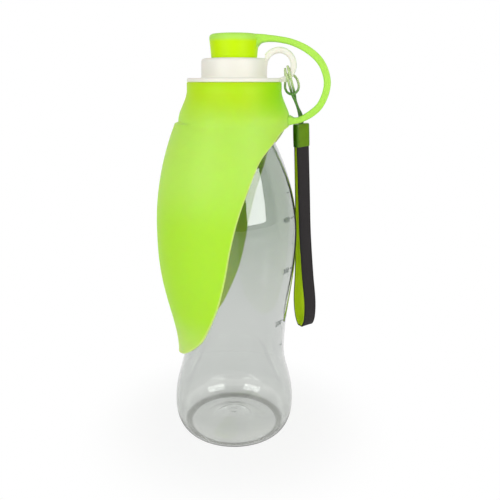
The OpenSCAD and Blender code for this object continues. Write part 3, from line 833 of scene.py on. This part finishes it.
class BOTTLE_OT_bottle(bpy.types.Operator):
    """Makes the clear bottle with its thread, ledge and pushed-up base"""

    bl_idname = "bottle.bottle"
    bl_label = "Bottle"

    def execute(self, context):
        look = context.scene.bottle_look
        outer = bottle_line()
        bore = NECK_R - look.neck_wall
        inner = [p for p in self.moved_in(outer, look.wall) if p[1] > 1.6 * look.wall and p[0] > bore]
        floor = dome_line(1.5 * look.wall, FOOT_IN_R)
        lip, top, under = LIP_Z - LIP_ROUND, LEDGE_Z - LEDGE_ROUND, LEDGE_Z - LEDGE_T
        fillet = LEDGE_Z + LEDGE_FILLET
        profile = (
            floor[:-4]
            + inner
            + [(bore, z) for z in np.linspace(NECK_Z + 0.0005, lip, 12)]
            + arc(bore + LIP_ROUND, lip, LIP_ROUND, 180, 90, 5)[1:]
            + arc(NECK_R - LIP_ROUND, lip, LIP_ROUND, 90, 0, 5)
            + [(NECK_R, z) for z in np.arange(LIP_Z - 0.001, fillet, -THREAD_ROW)]
            + arc(NECK_R + LEDGE_FILLET, fillet, LEDGE_FILLET, 180, 270, 4)
            + arc(LEDGE_R - LEDGE_ROUND, top, LEDGE_ROUND, 90, 0, 4)
            + arc(LEDGE_R - LEDGE_ROUND, under + 0.0006, LEDGE_ROUND, 0, -80, 4)
            + [(NECK_R + LEDGE_ROUND, under), (NECK_R, under - LEDGE_ROUND)]
            + outer[::-1]
            + arc((FOOT_IN_R + FOOT_OUT_R) / 2, FOOT_ROUND, FOOT_ROUND, -50, -130, 4)
            + dome_line(0, FOOT_IN_R)[::-1]
        )
        profile[0], profile[-1] = (0, profile[0][1]), (0, profile[-1][1])
        bottle = add_piece("bottle_body", turned(profile, 128, self.thread_reach), clear_plastic(look))
        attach(bottle, "bottle")
        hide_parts("bottle", "bottle_top")
        return {"FINISHED"}

    def moved_in(self, line, gap):
        """A line's points moved to its left by a gap, which is inwards on the body's line."""
        d = directions(np.array(line))
        return [tuple(q) for q in np.array(line) + gap * np.stack([-d[:, 1], d[:, 0]], axis=1)]

    def thread_reach(self, angle, radius, z):
        """Lifts the neck's wall into its helical ridge."""
        if abs(radius - NECK_R) > 1e-6 or z < LEDGE_Z + 0.0005:
            return radius
        for turn in range(3):
            run = angle / (2 * math.pi) + turn
            off = abs(z - THREAD_Z - THREAD_PITCH * run)
            if run <= THREAD_TURNS and off < THREAD_HALF:
                fade = clamp(9 * min(run, THREAD_TURNS - run))
                return radius + THREAD_H * fade * clamp((THREAD_HALF - off) / THREAD_FLANK)
        return radius


# ---------------- scale

# The scale's turn about the axis, the radius by which its lines bend, its numbered marks and its short lines
# beyond them
SCALE_TURN, SCALE_GIRTH = math.radians(-19), 0.0345
SCALE_MARKS, OUTER_LINES = ((0.073, "200"), (0.1045, "300"), (0.133, "400")), [0.0575, 0.1465]
LONG_LINE, SHORT_LINE, INK_T = 0.0045, 0.0026, 0.00006
NUMBER_SIZE, NUMBER_BACK, NUMBER_DOWN = 0.0042, 0.0016, 0.0014


def on_bottle(x, z, turn, out):
    """A point on the bottle's wall, x along its girth from a line at that turn, and out from the wall."""
    r = bottle_radius(z)
    a = turn + x / r
    return ((r + out) * math.cos(a), (r + out) * math.sin(a), z)


class BOTTLE_OT_scale(bpy.types.Operator):
    """Prints the scale's numbers and lines on the bottle"""

    bl_idname = "bottle.scale"
    bl_label = "Printed scale"

    def execute(self, context):
        look = context.scene.bottle_look
        ink = printing_ink(look.ink)
        points, faces = [], []
        for z, words in SCALE_MARKS:
            self.add_number(points, faces, words, z)
        numbers = add_piece("scale_numbers", (points, faces), ink, sharp=60)
        for piece in (numbers, self.add_lines(look, ink)):
            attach(piece, "bottle")
        return {"FINISHED"}

    def add_lines(self, look, ink):
        """The scale's lines: a long one at each mark, and short ones between and beyond. A rule sets a flat
        bar at each height, bends it round the girth and lays it on the bottle's wall."""
        marks = [z for z, _ in SCALE_MARKS]
        between = [(a + b) / 2 for a, b in zip(marks, marks[1:])] + OUTER_LINES
        ends = [(LONG_LINE, 0, z) for z in marks] + [(SHORT_LINE, 0, z) for z in between]
        holder = link_mesh("scale_lines", ends)
        rule = Rule(
            "scale_lines_rule", Tick_height=look.tick, Ink_thickness=INK_T, Turn=SCALE_TURN,
            Girth=SCALE_GIRTH,
        )
        wide, _, height = rule.axes(rule.node("GeometryNodeInputPosition"))
        sizes = rule.vector(wide, rule.given("Ink thickness"), rule.given("Tick height"))
        marked = rule.node(
            "GeometryNodeStoreNamedAttribute", {0: rule.given(), "Name": "size", "Value": sizes},
            data_type="FLOAT_VECTOR",
        )
        middles = rule.node(
            "GeometryNodeSetPosition", {0: marked, "Position": rule.vector(wide * 0.5, 0.0, height)}
        )
        bar = rule.node("GeometryNodeMeshCube", {"Size": (1.0, 1.0, 1.0), "Vertices X": 6})
        size = rule.node("GeometryNodeInputNamedAttribute", {"Name": "size"}, data_type="FLOAT_VECTOR")
        bars = rule.node("GeometryNodeInstanceOnPoints", {"Points": middles, "Instance": bar, "Scale": size})
        real = rule.node("GeometryNodeRealizeInstances", {0: bars})
        across, lift, up = rule.axes(rule.node("GeometryNodeInputPosition"))
        turn = rule.given("Turn") + across / rule.given("Girth")
        out = rule.vector(rule.math("COSINE", turn), rule.math("SINE", turn), 0.0)
        wall = rule.node("GeometryNodeObjectInfo", {"Object": bpy.data.objects["bottle_body"]}, "Geometry")
        reach = 0.05
        ray = {
            "Target Geometry": wall, "Ray Length": reach, "Ray Direction": rule.scaled(out, -1.0),
            "Source Position": rule.sum(rule.vector(0.0, 0.0, up), rule.scaled(out, reach)),
        }
        hit = rule.node("GeometryNodeRaycast", ray, "Hit Position")
        laid = rule.sum(hit, rule.scaled(out, lift + INK_T))
        return rule.grow(holder, rule.node("GeometryNodeSetPosition", {0: real, "Position": laid}), ink)

    def add_number(self, points, faces, words, z):
        """Adds a number's points and faces, right-aligned and laid on the bottle's wall."""
        curve = bpy.data.curves.new("number", "FONT")
        curve.body, curve.size, curve.extrude = words, NUMBER_SIZE, INK_T / 2
        curve.align_x = "RIGHT"
        curve.resolution_u = 3
        holder = link("number", curve)
        flat = evaluated(holder)
        base = len(points)
        for v in flat.vertices:
            x, up, out = v.co
            points.append(on_bottle(x - NUMBER_BACK, z + up - NUMBER_DOWN, SCALE_TURN, INK_T + out))
        faces.extend(tuple(base + k for k in p.vertices) for p in flat.polygons)
        bpy.data.objects.remove(holder)
        bpy.data.curves.remove(curve)
        bpy.data.meshes.remove(flat)


# ---------------- leaf

# The leaf's reach towards the tip's side and its half width, at the crease, the crown and some way above the
# tip's end
FOLD_REACH, FOLD_HALF = 0.0322, 0.031
CROWN_REACH, CROWN_HALF, CROWN_Z = 0.0438, 0.0385, 0.125
TIP_REACH, TIP_HALF, TIP_ABOVE = 0.0332, 0.0324, 0.006
CREASE_R, COLLAR_R, WEB_BORE_R = 0.0302, 0.0252, 0.01815
LOBE_TOP_Z, LEAF_H = CREASE_Z - 0.001, CREASE_Z - TIP_Z

# Half the height over which lobe and collar blend, how much more it grows, and from and over which angle
CRISP, SOFTER, SOFT_FROM, SOFT_OVER = 0.0005, 0.0062, math.radians(38), math.radians(42)

# The leaf's lower edge on one side: angle from the tip, share of the way up to the crease, and the angle at
# which the leaf's line from there meets the crease
LEAF_EDGE = (
    (0, 0.022, 0), (14, 0.031, 6.7), (28, 0.049, 13.5), (40, 0.068, 20.3), (52, 0.1, 27.5), (66, 0.15, 38),
    (77, 0.23, 50), (86, 0.327, 62), (92, 0.442, 73), (96, 0.55, 82), (102, 0.665, 92), (111, 0.773, 104),
    (122, 0.867, 117), (137, 0.924, 134), (155, 0.97, 153.5), (180, 0.986, 180),
)

# Distances in from the rim of the rows that round it, how far below the lobe's top they start to draw
# together, then the counts of rows up to the lobe's top, over the crease and up the collar
RIM_ROWS, RIM_ROOM = (0, 0.0001, 0.00022, 0.0004, 0.0006, 0.001, 0.0016, 0.0025), 0.004
LOBE_ROWS, CREASE_ROWS, COLLAR_ROWS = 56, 6, 24


def lobe_radius(angle, z):
    """How far the leaf stands from the axis: a circle pushed towards the tip."""
    up = clamp((LOBE_TOP_Z - z) / (LOBE_TOP_Z - CROWN_Z))
    down = clamp((CROWN_Z - z) / (CROWN_Z - TIP_Z - TIP_ABOVE))
    rise, fall = 1 - (1 - up) ** 2, ease(down**1.35)
    reach = FOLD_REACH + (CROWN_REACH - FOLD_REACH) * rise - (CROWN_REACH - TIP_REACH) * fall
    half = FOLD_HALF + (CROWN_HALF - FOLD_HALF) * rise - (CROWN_HALF - TIP_HALF) * fall
    push = (reach - half * half / reach) / 2
    return push * math.cos(angle) + math.sqrt((reach - push) ** 2 - (push * math.sin(angle)) ** 2)


def collar_radius(z):
    return CREASE_R + (COLLAR_R - CREASE_R) * ease(clamp((z - CREASE_Z) / (FLANGE_Z - CREASE_Z - 0.0035)))


def leaf_radius(angle, z):
    """The leaf's outer radius, lobe and collar alike. The crease between them is crisp near the tip's side,
    and fades out round the sides and the back."""
    soft = CRISP + SOFTER * ease(clamp((abs(angle) - SOFT_FROM) / SOFT_OVER))
    share = ease(clamp((z - CREASE_Z + CRISP + soft) / (2 * soft)))
    lobe, collar = lobe_radius(angle, min(z, LOBE_TOP_Z)), collar_radius(max(z, CREASE_Z))
    return (1 - share) * lobe + share * collar


class BOTTLE_OT_leaf(bpy.types.Operator):
    """Makes the leaf-shaped silicone bowl with its collar and rounded rim"""

    bl_idname = "bottle.leaf"
    bl_label = "Leaf bowl"

    def execute(self, context):
        look = context.scene.leaf_look
        half = smooth(LEAF_EDGE, 9)
        columns, from_rim = zip(*(self.column(half, i, look) for i in range(len(half))))
        mirrored = [[(x, -y, z) for x, y, z in c] for c in reversed(columns[1:-1])]
        skin = swept(list(columns) + mirrored, closed=True)
        uv = [(d / MM, within) for line in from_rim + from_rim[-2:0:-1] for d, within in line]
        leaf = add_piece("leaf_bowl_silicone", skin, leaf_silicone(look), uv, 55)
        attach(leaf, "cap")
        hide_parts("leaf_bowl")
        return {"FINISHED"}

    def column(self, half, i, look):
        """One closed line of points: up the outside from the rim, over the web and down the inside."""
        angle, share, top_angle = half[i]
        z = TIP_Z + LEAF_H * share
        a, top = math.radians(angle), math.radians(top_angle)
        r = lobe_radius(a, min(z, LOBE_TOP_Z))
        before, after = half[max(i - 1, 0)], half[min(i + 1, len(half) - 1)]
        run = Vector((r * math.radians(after[0] - before[0]), LEAF_H * (after[1] - before[1]))).normalized()
        if i in (0, len(half) - 1):
            run = Vector((1, 0))
        into = Vector((-run.y, run.x))
        room = min(1.0, (LOBE_TOP_Z - z) / RIM_ROOM)
        path = []
        for d in RIM_ROWS:
            path.append((a + into.x * d * room / r, z + into.y * d * room, d * room))
        a0, z0, d0 = path[-1]
        for k in range(1, LOBE_ROWS + 1):
            t = k / LOBE_ROWS
            path.append((a0 + (top - a0) * t, z0 + (LOBE_TOP_Z - z0) * t, d0 + 0.001 * k))
        for k in range(1, CREASE_ROWS + 1):
            path.append((top, LOBE_TOP_Z + (CREASE_Z - LOBE_TOP_Z) * k / CREASE_ROWS, 1))
        for k in range(1, COLLAR_ROWS + 1):
            path.append((top, CREASE_Z + (WEB_Z - 0.001 - CREASE_Z) * k / COLLAR_ROWS, 1))
        outside, inside = [], []
        for b, height, d in path:
            rim = min(look.rim, d)
            cut = look.rim - math.sqrt(max(0.0, look.rim**2 - (look.rim - rim) ** 2))
            radius = leaf_radius(b, height)
            outside.append(self.at(b, radius - cut, height))
            inside.append(self.at(b, radius - look.wall + cut, height))
        web = [
            (COLLAR_R, FLANGE_Z - 0.0004), (COLLAR_R - 0.0004, FLANGE_Z), (WEB_BORE_R, FLANGE_Z),
            (WEB_BORE_R, WEB_Z), (COLLAR_R - look.wall - 0.0006, WEB_Z),
        ]
        line = outside + [self.at(top, q, height) for q, height in web] + inside[::-1]
        return line, [(d, 0) for _, _, d in path] + [(1, 0)] * len(web) + [(d, 1) for _, _, d in path[::-1]]

    def at(self, angle, radius, z):
        return (-radius * math.cos(angle), -radius * math.sin(angle), z)


# ---------------- plug and tether

# The tether's root, flush with the plug's top and filleted below: beyond the plug's side, top and thickness
TETHER_ROOT = (
    (-0.006, 0.22735, 0.0068), (-0.0012, 0.22735, 0.0066), (-0.0003, 0.22732, 0.0058),
    (0.0006, 0.22728, 0.0048), (0.0018, 0.2272, 0.00405), (0.0034, 0.22705, 0.0036),
    (0.0056, 0.22675, 0.0032),
)

# The arch out and back: shares of the reach, of the drop and of the tether's thickness
TETHER_OUT = (
    (0.236, 0.005, 0.81), (0.438, 0.038, 0.83), (0.64, 0.107, 0.94), (0.804, 0.2, 1), (0.914, 0.305, 1),
    (0.98, 0.429, 1), (1, 0.548, 1),
)
TETHER_BACK = (
    (0.941, 0.681, 1), (0.798, 0.807, 1), (0.574, 0.898, 1), (0.298, 0.967, 0.86), (0.117, 0.984, 0.9),
    (-0.045, 0.978, 1.4),
)
ARCH_REACH, TETHER_TOP_Z, TETHER_TAB = 0.049, 0.225, 0.0013

# The tether's corners, the flare of its last sections, and how far beyond the plug's side, and over what
# distance, its sections turn square to its line
TETHER_CORNER, FLARE_ROWS, FLARE, SQUARE_FROM, SQUARE_OVER = 0.0009, 14, 0.55, 0.005, 0.006

# The plug's body and its stem, with where its two sealing beads start
PLUG_R, PLUG_SEAT_R, PLUG_TOP_ROUND, PLUG_FOOT_ROUND, PLUG_DISH = 0.013, 0.0121, 0.0018, 0.0006, 0.0003
STEM_R, SEAL_R, STEM_Z, BEAD_H = 0.00744, 0.00794, 0.2048, 0.0018
BEAD_STARTS = (STEM_Z + 0.002, STEM_Z + 0.006)


class BOTTLE_OT_tether(bpy.types.Operator):
    """Makes the silicone tether from the leaf's collar to the plug"""

    bl_idname = "bottle.tether"
    bl_label = "Tether"

    def execute(self, context):
        look = context.scene.plug_look
        path = smooth(self.stations(look), 8)
        ahead = directions(path[:, :2])
        rings = []
        for i, (x, z, thick) in enumerate(path):
            flare = 1 + FLARE * ease(clamp((i - len(path) + FLARE_ROWS + 1) / FLARE_ROWS))
            square = ease(clamp((x - PLUG_R - SQUARE_FROM) / SQUARE_OVER))
            nx, nz = -ahead[i][1] * square, 1 + (ahead[i][0] - 1) * square
            section = rounded_box(look.tether_width * flare, thick, TETHER_CORNER, 6)
            rings.append([(x + q * nx, p, z + q * nz) for p, q in section])
        tether = add_piece("plug_tether_strap", swept(rings), tether_silicone(look), sharp=70)
        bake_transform(tether)
        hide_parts("plug_tether")
        return {"FINISHED"}

    def stations(self, look):
        """The centreline from inside the plug's head to the collar, as x, height and thickness."""
        drop, tab = TETHER_TOP_Z - CREASE_Z, PLUG_R + TETHER_TAB
        made = [(PLUG_R + x, top - thick / 2, thick) for x, top, thick in TETHER_ROOT]
        for start, shares in ((tab, TETHER_OUT), (CREASE_R, TETHER_BACK)):
            for x, z, thick in shares:
                reach = start + (ARCH_REACH - start) * x
                made.append((reach, TETHER_TOP_Z - drop * z, look.tether_thickness * thick))
        return made


class BOTTLE_OT_plug(bpy.types.Operator):
    """Makes the spout's plug with its rolled band and beaded stem"""

    bl_idname = "bottle.plug"
    bl_label = "Plug"

    def execute(self, context):
        foot, top = PLUG_FOOT_ROUND, PLUG_TOP_ROUND
        profile = [(0, STEM_Z), (STEM_R - 0.003, STEM_Z)]
        profile += arc(STEM_R - foot, STEM_Z + foot, foot, -90, 0, 5)
        for z in BEAD_STARTS:
            for t in np.linspace(0, 1, 9):
                profile.append((STEM_R + (SEAL_R - STEM_R) * math.sin(math.pi * t) ** 0.7, z + BEAD_H * t))
        seat = CAP_TOP_Z
        profile += [(STEM_R, seat - 0.0004), (STEM_R + 0.0004, seat), (PLUG_SEAT_R - foot, seat)]
        profile += arc(PLUG_SEAT_R - foot, seat + foot, foot, -90, 0, 5)[1:-1]
        for t in np.linspace(0, 1, 13):
            swell = 0.85 * t + 0.15 * t**4
            z = seat + foot + (BAND_Z - seat) * t
            profile.append((PLUG_SEAT_R + (PLUG_R - PLUG_SEAT_R) * swell, z))
        profile += arc(PLUG_R - top, PLUG_TOP_Z - top, top, 0, 90, 10)
        for t in np.linspace(0.9, 0, 8):
            profile.append(((PLUG_R - top) * t, PLUG_TOP_Z - PLUG_DISH * ease(1 - t)))
        look = context.scene.plug_look
        plug = add_piece("spout_plug_silicone", turned(profile, 96), plug_silicone(look))
        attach(plug, "plug")
        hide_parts("spout_plug")
        return {"FINISHED"}


# ---------------- cap


class BOTTLE_OT_cap(bpy.types.Operator):
    """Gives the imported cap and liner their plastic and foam"""

    bl_idname = "bottle.cap"
    bl_label = "Cap and liner"

    def execute(self, context):
        look = context.scene.cap_look
        coat(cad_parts["cap"], cap_plastic(look.plastic))
        coat(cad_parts["cap_liner"], liner_foam(look.liner))
        return {"FINISHED"}


# ---------------- strap

LOOP_H, BELLY_HALF, LEG_GAP = 0.108, 0.005, 0.0003
FERRULE_H, FERRULE_WALL, FERRULE_ROOF, FERRULE_GAP = 0.0126, 0.0005, 0.002, 0.0001
FERRULE_CORNER, FERRULE_TOP_ROUND, FERRULE_FOOT_ROUND, FERRULE_SWELL = 0.0014, 0.0008, 0.0004, 0.00008

# The stitches' rows from the tape's middle, their thread's half thickness, how far it stands proud of the
# tape, and the points of the loop that they leave out at each end
STITCH_ROW, THREAD_R, THREAD_LIFT, UNSTITCHED = 0.0033, 0.00016, 0.00003, 20


def hung(across, through, down):
    """A point of the strap: across its width, through its thickness, and down from the ferrule's top."""
    turn = Matrix.Rotation(STRAP_TURN, 3, "Z") @ Matrix.Rotation(-STRAP_LEAN, 3, "Y")
    return STRAP_TOP + turn @ Vector((across, through, -down))


def loop_line(tape):
    """The loop's middle line in its own plane, down one leg and up the other, as (through, down)."""
    mid = LEG_GAP / 2 + tape
    side = [(mid, FERRULE_ROOF + FERRULE_GAP)]
    for through, share in (
        (mid, 0), (mid + 0.0003, 0.24), (mid + 0.0006, 0.46), (BELLY_HALF - 0.0018, 0.69), (BELLY_HALF, 0.84),
        (BELLY_HALF - 0.0007, 0.94), (BELLY_HALF - 0.003, 0.99),
    ):
        side.append((through, FERRULE_H + share * LOOP_H))
    foot = [(0, FERRULE_H + LOOP_H - tape)]
    return smooth([(-q, d) for q, d in side] + foot + side[::-1], 14)


class BOTTLE_OT_strap(bpy.types.Operator):
    """Makes the wrist strap's two tapes and its ferrule"""

    bl_idname = "bottle.strap"
    bl_label = "Wrist strap"

    def execute(self, context):
        look = context.scene.strap_look
        dark, green = woven_tape("tape_dark", look.outer, 0.6), woven_tape("tape_green", look.inner, 0.72)
        outer = self.add_tape("strap_outer_tape_weave", look, 0, look.tape, dark)
        inner = self.add_tape("strap_inner_tape_weave", look, -look.tape, 0, green)
        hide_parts("strap_outer_tape")
        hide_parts("strap_inner_tape")
        proud = look.tape + THREAD_LIFT
        self.add_stitches("outer_tape_stitches", look, proud, dark, "tape_dark")
        self.add_stitches("inner_tape_stitches", look, -proud, green, "tape_green")
        ferrule = self.add_ferrule(look)
        return {"FINISHED"}

    def add_tape(self, name, look, low, high, material):
        """One tape of the loop, between two distances out from the loop's middle line."""
        line = loop_line(look.tape)
        run, ahead = runs(line), directions(line)
        section = rounded_box(look.width, high - low, 0.00018, 3)
        rings, uv = [], []
        for i, (through, down) in enumerate(line):
            out = Vector((-ahead[i][1], ahead[i][0]))
            ring = []
            for p, q in section:
                lift = q + (low + high) / 2
                ring.append(hung(p, through + lift * out.x, down + lift * out.y))
                uv.append((run[i] / MM, (p + look.width / 2) / MM))
            rings.append(ring)
        tape = add_piece(name, swept(rings), material, uv)
        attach(tape, "strap")
        return tape

    def add_stitches(self, name, look, lift, material, slot):
        """Two rows of stitches, out from the loop's middle line by a lift. A rule sets a short thread along
        each row's line at every stitch, turned to follow the line."""
        line = loop_line(look.tape)[UNSTITCHED:-UNSTITCHED]
        ahead = directions(line)
        points, edges = [], []
        for across in (-STITCH_ROW, STITCH_ROW):
            edges += [(len(points) + i, len(points) + i + 1) for i in range(len(line) - 1)]
            points += [hung(across, q - lift * a[1], d + lift * a[0]) for (q, d), a in zip(line, ahead)]
        holder = link_mesh(name, points, edges)
        rule = Rule(name + "_rule", Stitch=look.stitch, Thread=THREAD_R)
        stitch, thick = rule.given("Stitch"), rule.given("Thread")
        curve = rule.node("GeometryNodeMeshToCurve", {0: rule.given()})
        dots = rule.node("GeometryNodeCurveToPoints", {0: curve, "Length": stitch}, mode="LENGTH")
        (follow,) = rule.outputs(dots, ["Rotation"])
        thread = rule.node("GeometryNodeMeshUVSphere", {"Segments": 8, "Rings": 6, "Radius": 1.0})
        size = rule.vector(thick, thick, stitch * 0.36)
        sewn = {"Points": dots, "Instance": thread, "Rotation": follow, "Scale": size}
        made = rule.node("GeometryNodeInstanceOnPoints", sewn)
        rule.grow(holder, rule.node("GeometryNodeSetShadeSmooth", {0: made}), material)
        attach(holder, "strap")

    def add_ferrule(self, look):
        """The sleeve over the strap's two ends: rounded, a little fuller at its middle, open below."""
        width = look.width + 2 * (FERRULE_GAP + FERRULE_WALL)
        thick = 4 * look.tape + LEG_GAP + 2 * (FERRULE_GAP + FERRULE_WALL)
        rings, uv = [], []

        def ring(box, down):
            rings.append([hung(p, q, down) for p, q in box])
            uv.extend((p / MM, down / MM) for p, _ in box)

        def outer_ring(inset, down):
            corner = max(FERRULE_CORNER - inset, 0.00015)
            ring(rounded_box(width - 2 * inset, thick - 2 * inset, corner, 8), down)

        slot = 2.4 * look.cord_diameter
        for down in (FERRULE_ROOF, 0):
            ring(rounded_box(slot, slot, 0.0002, 8), down)
        for a in np.radians(np.linspace(90, 0, 8)):
            outer_ring(FERRULE_TOP_ROUND * (1 - math.cos(a)), FERRULE_TOP_ROUND * (1 - math.sin(a)))
        for t in np.linspace(0, 1, 11)[1:-1]:
            outer_ring(-FERRULE_SWELL * math.sin(math.pi * t), FERRULE_H * t)
        for a in np.radians(np.linspace(0, 90, 6)):
            up = FERRULE_FOOT_ROUND * (1 - math.sin(a))
            outer_ring(FERRULE_FOOT_ROUND * (1 - math.cos(a)), FERRULE_H - up)
        for down in (FERRULE_H, FERRULE_ROOF):
            ring(rounded_box(width - 2 * FERRULE_WALL, thick - 2 * FERRULE_WALL, 0.0003, 8), down)
        ferrule = add_piece("cord_ferrule_sleeve", swept(rings, closed=True), ferrule_plastic(look), uv)
        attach(ferrule, "strap")
        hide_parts("cord_ferrule")
        return ferrule


# ---------------- panel

# The scene's groups of sizes and colours, with their classes and the operators that read them
GROUPS = (
    ("stage_look", StageLook, (BOTTLE_OT_stage,)),
    ("bottle_look", BottleLook, (BOTTLE_OT_bottle, BOTTLE_OT_scale)),
    ("leaf_look", LeafLook, (BOTTLE_OT_leaf,)),
    ("plug_look", PlugLook, (BOTTLE_OT_tether, BOTTLE_OT_plug)),
    ("cap_look", CapLook, (BOTTLE_OT_cap,)),
    ("strap_look", StrapLook, (BOTTLE_OT_cord, BOTTLE_OT_strap)),
)


class BOTTLE_PT_panel(bpy.types.Panel):
    """Lists the bottle's pieces and their sizes and colours"""

    bl_idname = "BOTTLE_PT_panel"
    bl_label = "Water bottle"
    bl_space_type = "VIEW_3D"
    bl_region_type = "UI"
    bl_category = "Water bottle"

    def draw(self, context):
        for look, group, makers in GROUPS:
            box = self.layout.box()
            for maker in makers:
                box.operator(maker.bl_idname)
            for name in group.__annotations__:
                box.prop(getattr(context.scene, look), name)


CLASSES = [made for _, group, makers in GROUPS for made in (group, *makers)] + [BOTTLE_PT_panel]


def register():
    for made in CLASSES:
        bpy.utils.register_class(made)
    for name, group, _ in GROUPS:
        setattr(bpy.types.Scene, name, bpy.props.PointerProperty(type=group))


def unregister():
    for name, _, _ in GROUPS:
        delattr(bpy.types.Scene, name)
    for made in reversed(CLASSES):
        bpy.utils.unregister_class(made)


def main():
    register()
    bpy.ops.bottle.stage()
    bpy.ops.bottle.cord()
    bpy.ops.bottle.bottle()
    bpy.ops.bottle.scale()
    bpy.ops.bottle.leaf()
    bpy.ops.bottle.tether()
    bpy.ops.bottle.plug()
    bpy.ops.bottle.cap()
    bpy.ops.bottle.strap()


if __name__ == "__main__":
    main()
